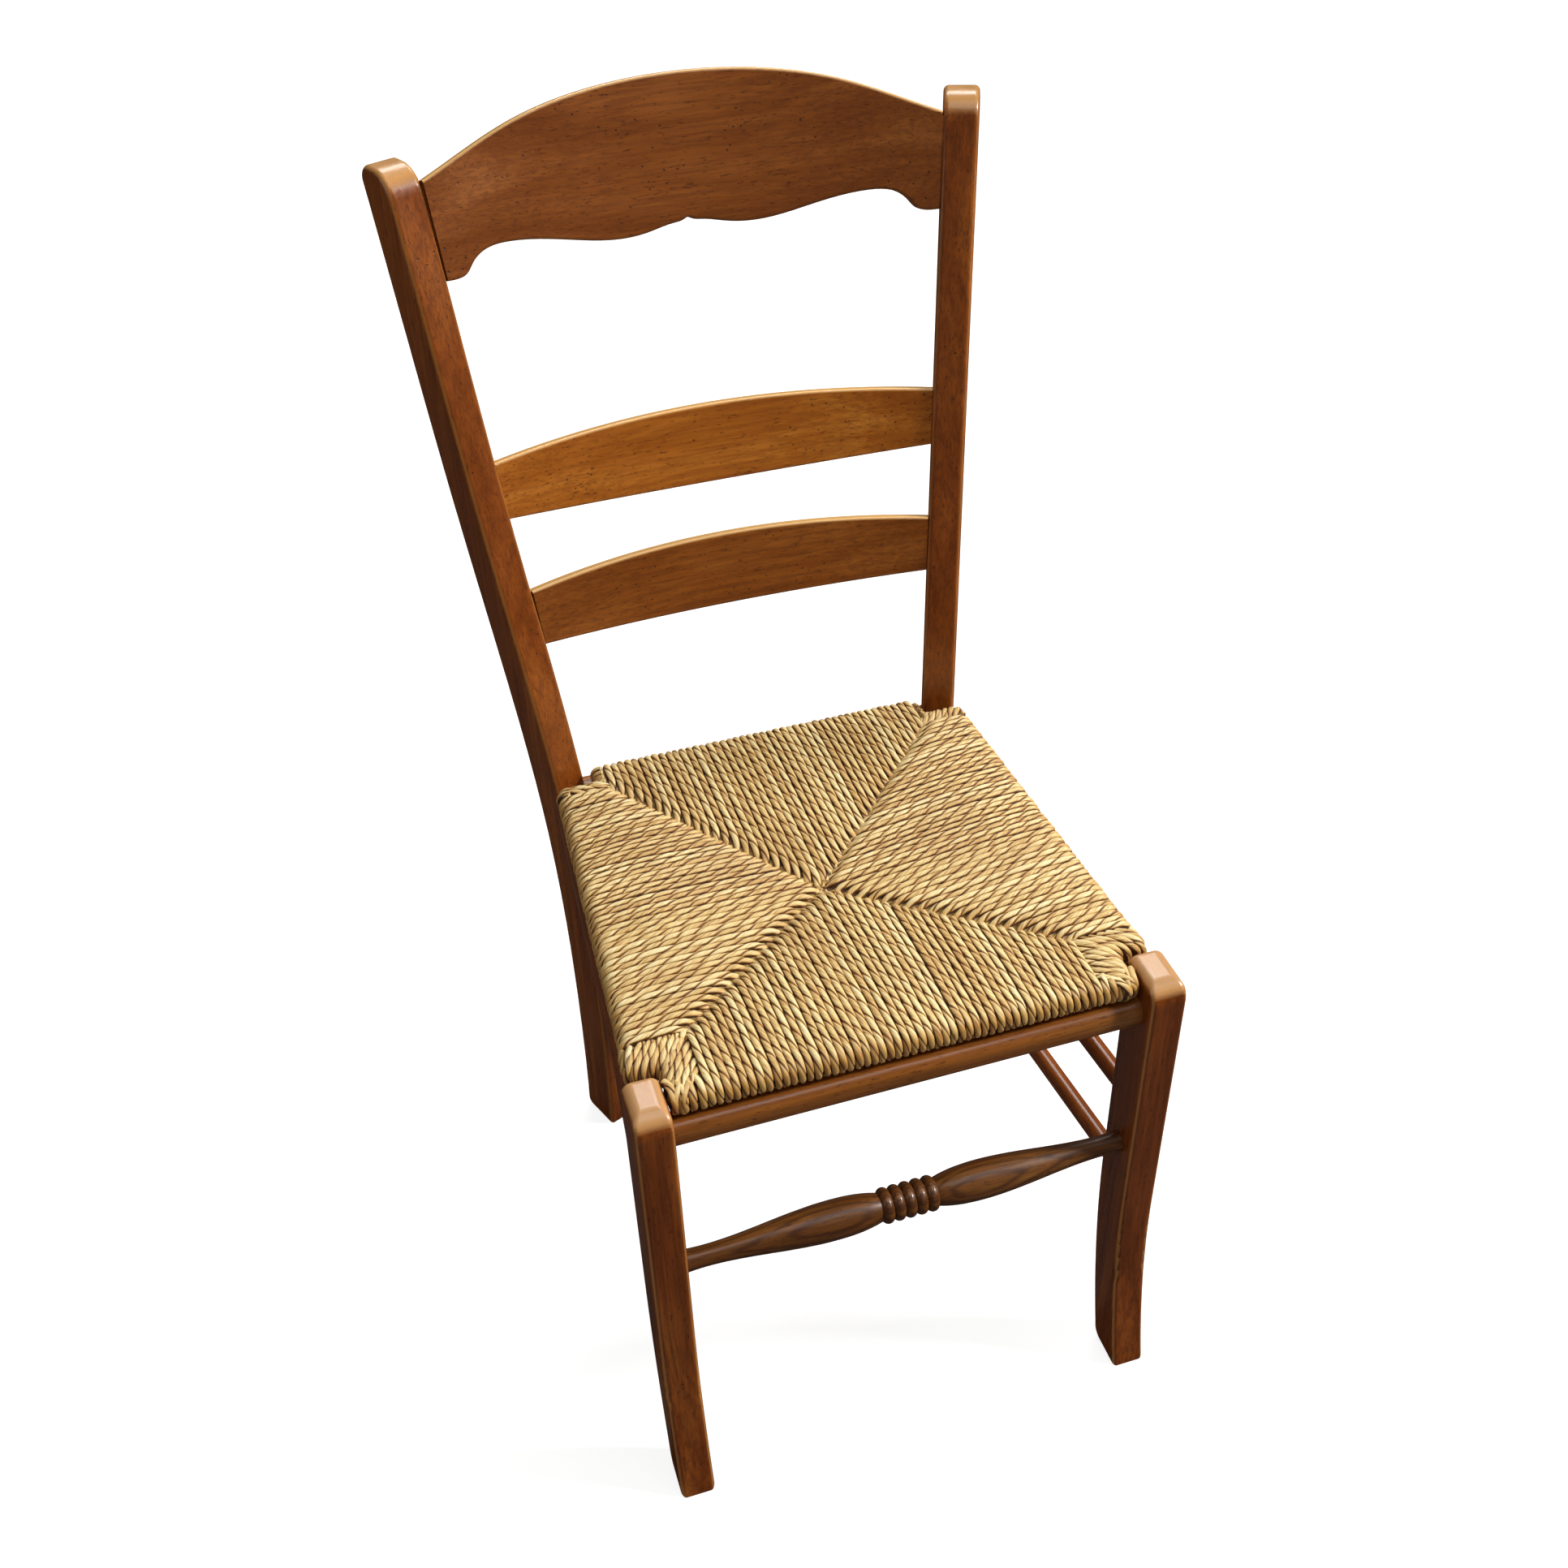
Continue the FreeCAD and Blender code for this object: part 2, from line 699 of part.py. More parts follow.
def seat_slab(inset, layer):
    """Rounded slab of the seat's plan, in by inset at the sides and layer in z."""
    plan = seat_outline(inset)
    low = seat_bottom + layer
    high = seat_height - layer
    wire = Part.makePolygon([p.add(Vec(0, 0, low)) for p in plan + plan[:1]])
    slab = Part.Face(wire).extrude(Vec(0, 0, high - low))
    notch = (1, 4, 7, 10)
    for convex in (True, False):
        radius = seat_corner_round - inset if convex else seat_notch_round + inset
        spots = [p for k, p in enumerate(plan) if (k not in notch) == convex]
        upright = edges_where(
            slab, lambda p: any(near(p.x, s.x) and near(p.y, s.y) for s in spots))
        slab = slab.makeFillet(radius, upright)
    rim = edges_where(slab, lambda p: near(p.z, low)) + edges_where(
        slab, lambda p: near(p.z, high))
    return slab.makeFillet(seat_edge_round - inset, rim)


def dish(base_z, apex_z):
    """Four shallow faces that fall from the seams' outer ends to the seat's middle."""
    corners = [
        Vec(-seam_front_x, seam_front_y, base_z),
        Vec(seam_front_x, seam_front_y, base_z),
        Vec(seam_rear_x, seam_rear_y, base_z),
        Vec(-seam_rear_x, seam_rear_y, base_z),
    ]
    apex = Vec(0, seat_centre, apex_z)
    faces = [Part.Face(Part.makePolygon(corners + corners[:1]))]
    for corner, following in zip(corners, corners[1:] + corners[:1]):
        faces.append(Part.Face(Part.makePolygon([corner, following, apex, corner])))
    return Part.Solid(Part.Shell(faces))


def dishes(shift):
    """The hollow above and the hollow below the seat, each moved inwards by shift."""
    above = dish(seat_height - shift, seat_height - seat_dip - shift)
    below = dish(seat_bottom + shift, seat_bottom + seat_underdip + shift)
    return above, below


def seat_core(inset):
    """Space between the upper and lower rush, in by inset at the sides."""
    above, below = dishes(rush_cord)
    return seat_slab(inset, rush_cord).cut(above).cut(below)


def rush_cover():
    above, below = dishes(0.0)
    return lift(seat_slab(0.0, 0.0).cut(above).cut(below).cut(seat_core(rush_cord)))


def box_between(low_x, high_x, low_y, high_y):
    """Upright block over a rectangle in plan."""
    return Part.makeBox(high_x - low_x, high_y - low_y, far, Vec(low_x, low_y, 0))


def beyond_bar(inset):
    """Everything outside the inner face of the right side bar, less inset."""
    reach = rush_cord + bar_width + inset
    plan = [
        Vec(half_width(-far) - reach, -far, 0),
        Vec(half_width(far) - reach, far, 0),
        Vec(2 * far, far, 0),
        Vec(2 * far, -far, 0),
    ]
    return Part.Face(Part.makePolygon(plan + plan[:1])).extrude(Vec(0, 0, far))


def frame_lines():
    """Inner faces of the front and rear bars, and inner ends of the corner blocks."""
    front_y = seat_front + rush_cord + bar_width
    rear_y = seat_back - rush_cord - bar_width
    front_x = leg_inner - bar_width - block_size / 2
    rear_x = rear_notch_x - block_size
    return front_y, rear_y, front_x, rear_x


def seat_frame_pieces():
    """Four bars and four corner blocks inside the rush."""
    core = seat_core(rush_cord + pack_gap)
    front_y, rear_y, front_x, rear_x = frame_lines()
    rear_end = rear_notch_x - rush_cord
    side = beyond_bar(0.0)
    front_bar = core.common(box_between(-far, far, -far, front_y))
    rear_bar = core.common(box_between(-rear_end, rear_end, rear_y, far))
    side_bar = core.common(side).cut(front_bar).cut(rear_bar)
    inner = core.cut(side)
    front_block = inner.common(box_between(front_x, far, front_y, front_y + block_size))
    rear_block = inner.common(box_between(rear_x, far, rear_y - block_size, rear_y))
    return {
        "seat_front_bar": lift(front_bar),
        "seat_rear_bar": lift(rear_bar),
        "seat_bar_right": lift(side_bar),
        "seat_block_front_right": lift(front_block),
        "seat_block_rear_right": lift(rear_block),
    }


def straw_packing():
    """Packing between the bars, clear of the wood and resting on the lower rush."""
    front_y, rear_y, front_x, rear_x = frame_lines()
    side = beyond_bar(pack_gap)
    body = seat_core(rush_cord + pack_gap).cut(side).cut(mirror(side))
    body = body.common(box_between(-far, far, front_y + pack_gap, rear_y - pack_gap))
    size = block_size + pack_gap
    blocks = (
        box_between(front_x - pack_gap, far, front_y - far, front_y + size),
        box_between(rear_x - pack_gap, far, rear_y - size, rear_y + far),
    )
    for block in blocks:
        body = body.cut(block).cut(mirror(block))
    return lift(body)


# Assembly

def finished_leg(leg):
    """Right front leg with its sockets."""
    front_socket, _ = side_rail_tenons(glue_line)
    return lift(leg.cut([
        front_rail_tenon(glue_line),
        front_socket,
        front_stretcher_tenon(glue_line),
        side_stretcher_right(side_lower_height, glue_line),
        side_stretcher_right(side_upper_height, glue_line),
    ]))


def finished_post(post):
    """Right rear post with its sockets and mortises."""
    _, rear_socket = side_rail_tenons(glue_line)
    sockets = [
        rear_rail_tenon(glue_line),
        rear_socket,
        rear_stretcher_tenon(glue_line),
        side_stretcher_right(side_lower_height, glue_line),
        side_stretcher_right(side_upper_height, glue_line),
        crest_pin_right(),
    ]
    sockets += [back_tenon(*joint, tenon_gap) for joint in board_joints().values()]
    return lift(post.cut(sockets))


def mirrored_pieces(leg, post):
    """The right-hand pieces that have a left-hand twin."""
    inner = seat_frame_pieces()
    pieces = {
        "front_leg_right": finished_leg(leg),
        "rear_post_right": finished_post(post),
        "side_rail_right": side_rail_right(leg, post),
        "lower_stretcher_right": side_stretcher_right(side_lower_height),
        "upper_stretcher_right": side_stretcher_right(side_upper_height),
    }
    pieces.update({name: shape for name, shape in inner.items() if "right" in name})
    twins = {name.replace("right", "left"): mirror(shape) for name, shape in pieces.items()}
    pieces.update(twins)
    pieces.update({name: shape for name, shape in inner.items() if "right" not in name})
    return pieces


def build_pieces():
    """Every piece of the chair by name."""
    leg = front_leg_right()
    post = rear_post_right()
    pin = lift(crest_pin_right().common(post))
    pin_hole = crest_pin_right()
    pieces = mirrored_pieces(leg, post)
    pieces["crest_rail"] = lift(crest_rail().cut([pin_hole, mirror(pin_hole)]))
    pieces["upper_slat"] = slat("upper_slat", upper_end_height, upper_arch, upper_belly)
    pieces["lower_slat"] = slat("lower_slat", lower_end_height, lower_arch, lower_belly)
    pieces["front_rail"] = front_rail()
    pieces["rear_rail"] = rear_rail()
    pieces["front_stretcher"] = front_stretcher()
    pieces["rear_stretcher"] = rear_stretcher()
    pieces["rush_cover"] = rush_cover()
    pieces["straw_packing"] = straw_packing()
    pieces["crest_pins"] = Part.makeCompound([pin, mirror(pin)])
    return pieces


def main():
    os.makedirs("parts", exist_ok=True)
    pieces = build_pieces()
    box = Part.makeCompound(list(pieces.values())).optimalBoundingBox(False, False)
    to_origin = Vec(-(box.XMin + box.XMax) / 2, -(box.YMin + box.YMax) / 2, -box.ZMin)
    for name, shape in sorted(pieces.items()):
        placed = shape.copy()
        placed.translate(to_origin)
        if not placed.isValid():
            raise ValueError(name + " is not valid")
        placed.exportStep("parts/" + name + ".step")
        print(name, len(placed.Solids), round(placed.Volume))
    print("size", box.XLength, box.YLength, box.ZLength, "shift", to_origin)


main()
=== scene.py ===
"""Looks of a ladderback dining chair: stained beech outside, wound rush, straw, bare beech.

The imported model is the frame. The wooden pieces keep their solids and get their
finishes here. The seat's rush cover is replaced by its cords.
Lengths are metres, +Z is up and the chair faces -Y.
"""
from __future__ import annotations

import logging
import math
import random
from dataclasses import dataclass, field
from enum import Enum
from functools import partial

import bpy
from mathutils import Matrix, Vector


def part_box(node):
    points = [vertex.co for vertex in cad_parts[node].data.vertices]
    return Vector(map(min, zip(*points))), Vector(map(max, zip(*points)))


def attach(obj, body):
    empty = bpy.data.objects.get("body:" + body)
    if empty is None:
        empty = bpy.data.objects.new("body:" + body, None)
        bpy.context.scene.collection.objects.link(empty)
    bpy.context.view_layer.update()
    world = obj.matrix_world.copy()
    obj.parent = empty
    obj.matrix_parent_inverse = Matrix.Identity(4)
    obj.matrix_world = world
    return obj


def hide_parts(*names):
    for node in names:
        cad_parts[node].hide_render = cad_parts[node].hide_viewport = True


Tree = bpy.types.NodeTree
Socket = bpy.types.NodeSocket
Material = bpy.types.Material
Thing = bpy.types.Object

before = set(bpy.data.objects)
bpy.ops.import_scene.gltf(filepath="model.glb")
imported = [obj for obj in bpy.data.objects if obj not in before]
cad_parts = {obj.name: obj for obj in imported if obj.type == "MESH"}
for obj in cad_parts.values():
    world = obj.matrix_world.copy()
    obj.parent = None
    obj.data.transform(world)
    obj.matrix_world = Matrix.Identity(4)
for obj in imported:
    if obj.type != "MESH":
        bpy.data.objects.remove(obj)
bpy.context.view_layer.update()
LOG = logging.getLogger("ladderback")
MM = 0.001
SEAMS_MEET = (-0.008, 0.193)    # x, and y from the seat's front edge
HALF_WIDTH = (0.2055, 0.205)    # half the seat's width, and where, from its front edge
ARC_STEPS = 5       # straight pieces in a rounded corner of the seat's plan
PARALLEL = 1e-12    # cross product below which two lines never meet
TOUCH = 1e-5        # a crossing nearer than this is the start itself
SLACK = 1e-6        # share by which a crossing may miss a side's end


class Grain(Enum):
    """Direction in which a piece's fibres run."""

    ACROSS = (0.0, math.pi / 2, 0.0)
    FORE_AND_AFT = (math.pi / 2, 0.0, 0.0)
    UPRIGHT = (0.0, 0.0, 0.0)


class Face(Enum):
    """Face of the seat that a strand lies on."""

    UPPER = 1
    UNDER = -1


def linear(code: str) -> tuple[float, float, float, float]:
    """Turn an sRGB hex colour into linear light.

    Args:
        code: Colour such as "#A0622D".

    Returns:
        Red, green, blue and alpha, each from 0 to 1.
    """
    levels = [int(code[k:k + 2], 16) / 255 for k in (1, 3, 5)]
    light = [v / 12.92 if v <= 0.04045 else ((v + 0.055) / 1.055) ** 2.4 for v in levels]
    return (*light, 1.0)


def add(tree: Tree, kind: str, inputs: dict | None = None, **settings: object) -> bpy.types.Node:
    """Add a node with its settings, its values and the links into it.

    Args:
        tree: Tree that gets the node.
        kind: Blender's name of the node type.
        inputs: Values or output sockets by input name, identifier or index.
        **settings: Properties set on the node before its inputs.

    Returns:
        The new node.
    """
    made = tree.nodes.new(kind)
    for name, value in settings.items():
        setattr(made, name, value)
    for key, value in (inputs or {}).items():
        socket = made.inputs[key] if isinstance(key, int) else next(
            s for s in made.inputs if key in (s.identifier, s.name) and s.enabled)
        if isinstance(value, Socket):
            tree.links.new(value, socket)
        else:
            socket.default_value = value
    return made


def ramp(tree: Tree, value: Socket, *stops: tuple[float, object]) -> Socket:
    """Add a colour ramp.

    Args:
        tree: Tree that gets the node.
        value: What the ramp reads.
        *stops: Places from 0 to 1, each with a colour or a grey level.

    Returns:
        The colour.
    """
    made = add(tree, "ShaderNodeValToRGB", {"Fac": value})
    elements = made.color_ramp.elements
    while len(elements) < len(stops):
        elements.new(0.5)
    for element, (place, colour) in zip(elements, stops):
        element.position = place
        element.color = colour if isinstance(colour, tuple) else (colour, colour, colour, 1)
    return made.outputs[0]


def blank_material(name: str) -> tuple[Material, Tree, bpy.types.Node]:
    """Start a material.

    Args:
        name: Name for the real finish.

    Returns:
        The material, its tree and its Principled node.
    """
    made = bpy.data.materials.new(name)
    made.use_nodes = True
    return made, made.node_tree, made.node_tree.nodes["Principled BSDF"]


def reckon(tree: Tree, operation: str, *values: object) -> Socket:
    """Add one Math node.

    Args:
        tree: Tree that gets the node.
        operation: Blender's name of the operation.
        *values: Sockets or numbers in the node's order.

    Returns:
        The result.
    """
    return add(tree, "ShaderNodeMath", dict(enumerate(values)), operation=operation).outputs[0]


def blend(tree: Tree, share: object, under: object, over: object, mode: str = "MIX") -> Socket:
    """Mix two colours.

    Args:
        tree: Tree that gets the node.
        share: How much of the upper colour is laid on.
        under: Lower colour.
        over: Upper colour.
        mode: Blender's name of the way they mix.

    Returns:
        The mixed colour.
    """
    return add(tree, "ShaderNodeMix", {0: share, 6: under, 7: over}, data_type="RGBA",
               blend_type=mode).outputs[2]


def scaled(tree: Tree, value: object, reach: tuple[float, float],
           onto: tuple[float, float] = (0.0, 1.0)) -> Socket:
    """Carry a range of values over to another range, held at its ends.

    Args:
        tree: Tree that gets the node.
        value: Socket or number to carry over.
        reach: Values that give the new range's two ends.
        onto: The new range's two ends.

    Returns:
        The carried value.
    """
    return add(tree, "ShaderNodeMapRange", {
        "Value": value, "From Min": reach[0], "From Max": reach[1],
        "To Min": onto[0], "To Max": onto[1]}).outputs[0]


def link(name: str, data: bpy.types.ID) -> Thing:
    """Put a new object with the given data into the scene.

    Args:
        name: Name of the object.
        data: Its mesh, curve, lamp or camera.

    Returns:
        The object.
    """
    made = bpy.data.objects.new(name, data)
    bpy.context.scene.collection.objects.link(made)
    return made


def paint_node(name: str, material: Material) -> None:
    """Give a CAD node one material.

    Args:
        name: The node.
        material: Its finish.
    """
    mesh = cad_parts[name].data
    mesh.materials.clear()
    mesh.materials.append(material)
    LOG.info("%s: %s", name, material.name)


@dataclass(frozen=True)
class StainedBeech:
    """Beech, stained and varnished, paler where hands and feet wear the arrises, with a painted
    highlight on the faces that look up.
    """

    name: str
    grain: Grain
    deep: str = "#5A2808"      # darkest stain, in the clouds, rings and streaks
    body: str = "#8C460E"      # the stain's middle tone
    warm: str = "#B0621A"      # lightest stain
    worn: str = "#CC8C48"      # wood of the rubbed arrises
    pale: str = "#E6B468"      # colour of the painted highlight on faces that look up
    fleck: str = "#3A1A08"     # the short dark marks of beech
    void: str = "#1E0D05"      # inside of a worm hole
    turn: float = 0.0          # radians that the sawn faces are turned about Z
    wear: float = 0.0          # how far the rounded arrises are rubbed back
    crown: float = 0.0         # how much painted highlight lightens the faces that look up
    pits: float = 0.0          # share of old worm holes and dents
    rings: float = 0.25        # contrast of the growth rings
    ring_pitch: float = 0.009  # between growth rings
    gloss: float = 0.30        # roughness of the varnish
    specular: float = 0.4
    coat: float = 0.3
    coat_rough: float = 0.16
    pore_depth: float = 0.3 * MM
    hole_depth: float = 0.5 * MM

    def material(self) -> Material:
        """Build the material.

        Returns:
            A material that reads Object coordinates in metres.
        """
        made, tree, shader = blank_material(self.name)
        place = add(tree, "ShaderNodeTexCoord").outputs["Object"]
        square = add(tree, "ShaderNodeVectorRotate", {"Vector": place, "Angle": self.turn},
                     rotation_type="Z_AXIS")
        along = add(tree, "ShaderNodeVectorRotate", {
            "Vector": square.outputs[0], "Rotation": self.grain.value},
            rotation_type="EULER_XYZ").outputs[0]
        # The figure: soft clouds 45 mm across and 350 mm along the fibres
        cloud = self.stretched(tree, along, (22.0, 22.0, 2.8), 4.0, 1.2)
        # Growth rings, wandering along the board
        bent = self.stretched(tree, along, (9.0, 9.0, 1.5), 2.0, 0.0)
        spread = add(tree, "ShaderNodeMapping", {"Vector": along, "Scale": (1.0, 1.0, 0.08)})
        ring = add(tree, "ShaderNodeTexWave", {
            "Vector": spread.outputs[0], "Scale": math.pi / 10 / self.ring_pitch,
            "Distortion": 5.0, "Detail": 2.0, "Detail Scale": 1.4, "Phase Offset": bent},
            wave_type="RINGS", rings_direction="Z", wave_profile="SIN")
        # Fibre streaks about 2 mm wide, and the short dark flecks that mark beech
        streak = self.stretched(tree, along, (460.0, 460.0, 14.0), 4.0, 0.5)
        fleck = self.stretched(tree, along, (800.0, 800.0, 130.0), 1.0, 0.6)
        colour = ramp(tree, cloud, (0.16, linear(self.deep)), (0.50, linear(self.body)),
                      (0.84, linear(self.warm)))
        dark_ring = ramp(tree, ring.outputs["Fac"], (0.0, 1.0), (0.30, 0.25), (1.0, 0.0))
        thin = ramp(tree, streak, (0.36, 1.0), (0.60, 0.0))
        spot = ramp(tree, fleck, (0.63, 0.0), (0.70, 1.0))
        hole = self.holes(tree, place)
        # The wood's own marks and wear, then a painted highlight on the faces that look up
        for mask, amount, tint in (
                (dark_ring, self.rings, self.deep), (thin, 0.5, self.deep),
                (spot, 0.6, self.fleck), (hole, 0.9, self.void),
                (self.rubbed(tree, streak), self.wear, self.worn),
                (self.painted_top_highlight(tree), self.crown, self.pale)):
            share = reckon(tree, "MULTIPLY", mask, amount)
            colour = blend(tree, share, colour, linear(tint))
        tree.links.new(colour, shader.inputs["Base Color"])
        dull = scaled(tree, cloud, (0.3, 0.7), (self.gloss - 0.06, self.gloss + 0.10))
        tree.links.new(dull, shader.inputs["Roughness"])
        # Pores and dents show through the thin varnish
        pore = add(tree, "ShaderNodeBump", {
            "Height": streak, "Strength": 0.18, "Distance": self.pore_depth})
        dent = add(tree, "ShaderNodeBump", {
            "Height": hole, "Normal": pore.outputs[0], "Strength": 0.35,
            "Distance": self.hole_depth}, invert=True)
        tree.links.new(dent.outputs[0], shader.inputs["Normal"])
        shader.inputs["Specular IOR Level"].default_value = self.specular
        shader.inputs["Coat Weight"].default_value = self.coat
        shader.inputs["Coat Roughness"].default_value = self.coat_rough
        return made

    @staticmethod
    def stretched(tree: Tree, place: Socket, scale: tuple[float, float, float],
                  detail: float, swirl: float) -> Socket:
        """Noise drawn out along the fibres.

        Args:
            tree: Material's tree.
            place: Coordinates in which the fibres run along Z.
            scale: Features per metre across, through and along.
            detail: Octaves.
            swirl: Distortion.

        Returns:
            The noise.
        """
        pulled = add(tree, "ShaderNodeMapping", {"Vector": place, "Scale": scale})
        return add(tree, "ShaderNodeTexNoise", {
            "Vector": pulled.outputs[0], "Scale": 1.0, "Detail": detail,
            "Distortion": swirl}).outputs[0]

    def holes(self, tree: Tree, place: Socket) -> Socket:
        """Old worm holes and dents, 1 to 2 mm across, in loose groups.

        Args:
            tree: Material's tree.
            place: Object coordinates.

        Returns:
            A mask that is 1 in a hole.
        """
        cell = add(tree, "ShaderNodeTexVoronoi", {
            "Vector": place, "Scale": 140.0, "Randomness": 1.0})
        dot = scaled(tree, cell.outputs["Distance"], (0.06, 0.16), (1.0, 0.0))
        group = add(tree, "ShaderNodeTexNoise", {"Vector": place, "Scale": 17.0, "Detail": 1.0})
        rarity = 0.62 - 0.2 * self.pits
        near = scaled(tree, group.outputs[0], (rarity, rarity + 0.04),
                      (0.0, 1.0 if self.pits > 0 else 0.0))
        return reckon(tree, "MULTIPLY", dot, near)

    @staticmethod
    def painted_top_highlight(tree: Tree) -> Socket:
        """Mask of the faces that look up, which get a painted highlight.

        Args:
            tree: Material's tree.

        Returns:
            A mask that is 1 on a face that looks up.
        """
        facing = add(tree, "ShaderNodeNewGeometry").outputs["Normal"]
        parts = add(tree, "ShaderNodeSeparateXYZ", {"Vector": facing})
        return scaled(tree, parts.outputs[2], (0.40, 0.85))

    def rubbed(self, tree: Tree, streak: Socket) -> Socket:
        """Mask of the rounded arrises, where no sawn face's direction holds the surface.

        Args:
            tree: Material's tree.
            streak: Noise that breaks the mask up.

        Returns:
            A mask that is 1 on an arris.
        """
        facing = add(tree, "ShaderNodeNewGeometry").outputs["Normal"]
        turned = add(tree, "ShaderNodeVectorRotate", {"Vector": facing, "Angle": self.turn},
                     rotation_type="Z_AXIS")
        size = add(tree, "ShaderNodeVectorMath", {0: turned.outputs[0]}, operation="ABSOLUTE")
        parts = add(tree, "ShaderNodeSeparateXYZ", {"Vector": size.outputs[0]}).outputs
        most = parts[0]
        for part in parts[1:]:
            most = reckon(tree, "MAXIMUM", most, part)
        ragged = reckon(tree, "MULTIPLY_ADD", streak, 0.10, most)
        return scaled(tree, ragged, (0.82, 0.97), (1.0, 0.0))


@dataclass(frozen=True)
class RushCord:
    """Twisted rush: dry straw-coloured leaves, with painted shade in the creases, on the cords'
    flanks and on the roll over the seat's edge.
    """

    name: str
    pale: str = "#FFF2BE"
    mid: str = "#F0D08A"
    brown: str = "#BC8C48"
    # Painted shade: crease is its darkest colour, half_shade and shade its lighter steps
    crease: str = "#341A08"
    half_shade: str = "#E6CC9C"
    shade: str = "#9A7240"
    rough: float = 0.52
    sheen: float = 0.08
    leaves: float = 4.2        # leaf edges over a cord's radius
    leaf_depth: float = 0.7 * MM

    def material(self) -> Material:
        """Build the material.

        Returns:
            A material that reads the attributes that twist_tree stores on the cords.
        """
        made, tree, shader = blank_material(self.name)
        run, tone, crease, rim = (
            add(tree, "ShaderNodeAttribute", attribute_name=name).outputs["Fac"]
            for name in ("run", "tone", "crease", "rim"))
        skin, aside = (
            add(tree, "ShaderNodeAttribute", attribute_name=name).outputs["Vector"]
            for name in ("skin", "aside"))
        place = add(tree, "ShaderNodeTexCoord").outputs["Object"]
        maths = partial(reckon, tree)
        # Leaf edges: fine lines about 0.8 mm apart that run along each ply
        parts = add(tree, "ShaderNodeSeparateXYZ", {"Vector": skin}).outputs
        leaf_at = add(tree, "ShaderNodeCombineXYZ", {
            0: maths("MULTIPLY", parts[0], self.leaves),
            1: maths("MULTIPLY", parts[1], self.leaves),
            2: maths("MULTIPLY_ADD", run, 70.0, maths("MULTIPLY", tone, 37.0))})
        leaf = add(tree, "ShaderNodeTexNoise", {
            "Vector": leaf_at.outputs[0], "Scale": 1.0, "Detail": 4.0, "Roughness": 0.62})
        # Broad patches of browner leaf over the seat
        patch = add(tree, "ShaderNodeTexNoise", {
            "Vector": place, "Scale": 13.0, "Detail": 3.0, "Distortion": 0.6})
        ground = ramp(tree, maths("ADD", leaf.outputs[0], tone), (0.36, linear(self.brown)),
                      (0.54, linear(self.mid)), (0.74, linear(self.pale)))
        leaves = blend(tree, scaled(tree, patch.outputs[0], (0.50, 0.72), (0.0, 0.45)),
                       ground, linear(self.brown))
        # Painted shade: darker in the groove between the plies, on a cord's flanks where it
        # presses on the next, and on the roll over the seat's edge
        groove = scaled(tree, crease, (0.25, 0.95), (0.0, 0.95))
        facing = add(tree, "ShaderNodeVectorMath", {
            0: aside, 1: add(tree, "ShaderNodeNewGeometry").outputs["Normal"]},
            operation="DOT_PRODUCT")
        flank_shade = scaled(tree, maths("ABSOLUTE", facing.outputs["Value"]), (0.70, 0.96),
                       (0.0, 0.92))
        rim_shade = scaled(tree, rim, (0.35, 0.95), (0.0, 0.42))
        depth = maths("MAXIMUM", maths("MAXIMUM", groove, flank_shade), rim_shade)
        shade = ramp(tree, depth, (0.0, 1.0), (0.30, linear(self.half_shade)),
                     (0.62, linear(self.shade)), (1.0, linear(self.crease)))
        colour = blend(tree, 1.0, leaves, shade, "MULTIPLY")
        tree.links.new(colour, shader.inputs["Base Color"])
        bump = add(tree, "ShaderNodeBump", {
            "Height": leaf.outputs[0], "Strength": 0.8, "Distance": self.leaf_depth})
        tree.links.new(bump.outputs[0], shader.inputs["Normal"])
        shader.inputs["Roughness"].default_value = self.rough
        shader.inputs["Sheen Weight"].default_value = self.sheen
        return made


@dataclass(frozen=True)
class LooseStraw:
    """Straw pressed flat between the rush: matt stalks that cross one another."""

    name: str = "pressed_straw"
    pale: str = "#CDAA66"
    dark: str = "#6B4A22"
    rough: float = 0.8
    stalk_depth: float = 1.5 * MM

    def material(self) -> Material:
        """Build the material.

        Returns:
            A material that reads Object coordinates.
        """
        made, tree, shader = blank_material(self.name)
        place = add(tree, "ShaderNodeTexCoord").outputs["Object"]
        stalks = []
        # Stalks 3 mm wide and 60 mm long, laid in two directions
        for angle in (0.5, -0.9):
            laid = add(tree, "ShaderNodeVectorRotate", {"Vector": place, "Angle": angle},
                       rotation_type="Z_AXIS")
            stalks.append(StainedBeech.stretched(
                tree, laid.outputs[0], (330.0, 17.0, 200.0), 2.0, 0.4))
        both = reckon(tree, "MAXIMUM", *stalks)
        colour = ramp(tree, both, (0.42, linear(self.dark)), (0.66, linear(self.pale)))
        tree.links.new(colour, shader.inputs["Base Color"])
        bump = add(tree, "ShaderNodeBump", {
            "Height": both, "Strength": 0.8, "Distance": self.stalk_depth})
        tree.links.new(bump.outputs[0], shader.inputs["Normal"])
        shader.inputs["Roughness"].default_value = self.rough
        return made


@dataclass
class Wood:
    """Wooden pieces that keep their CAD solids and share one finish."""

    finish: StainedBeech
    nodes: tuple[str, ...]

    def dress(self) -> None:
        """Give every node of the group the finish."""
        made = self.finish.material()
        for name in self.nodes:
            paint_node(name, made)


class Joinery:
    """Part of the chair whose pieces are all wood."""

    def build(self) -> list[Wood]:
        """List the groups of pieces with their finishes."""
        raise NotImplementedError

    def dress(self) -> None:
        """Finish every group."""
        for group in self.build():
            group.dress()


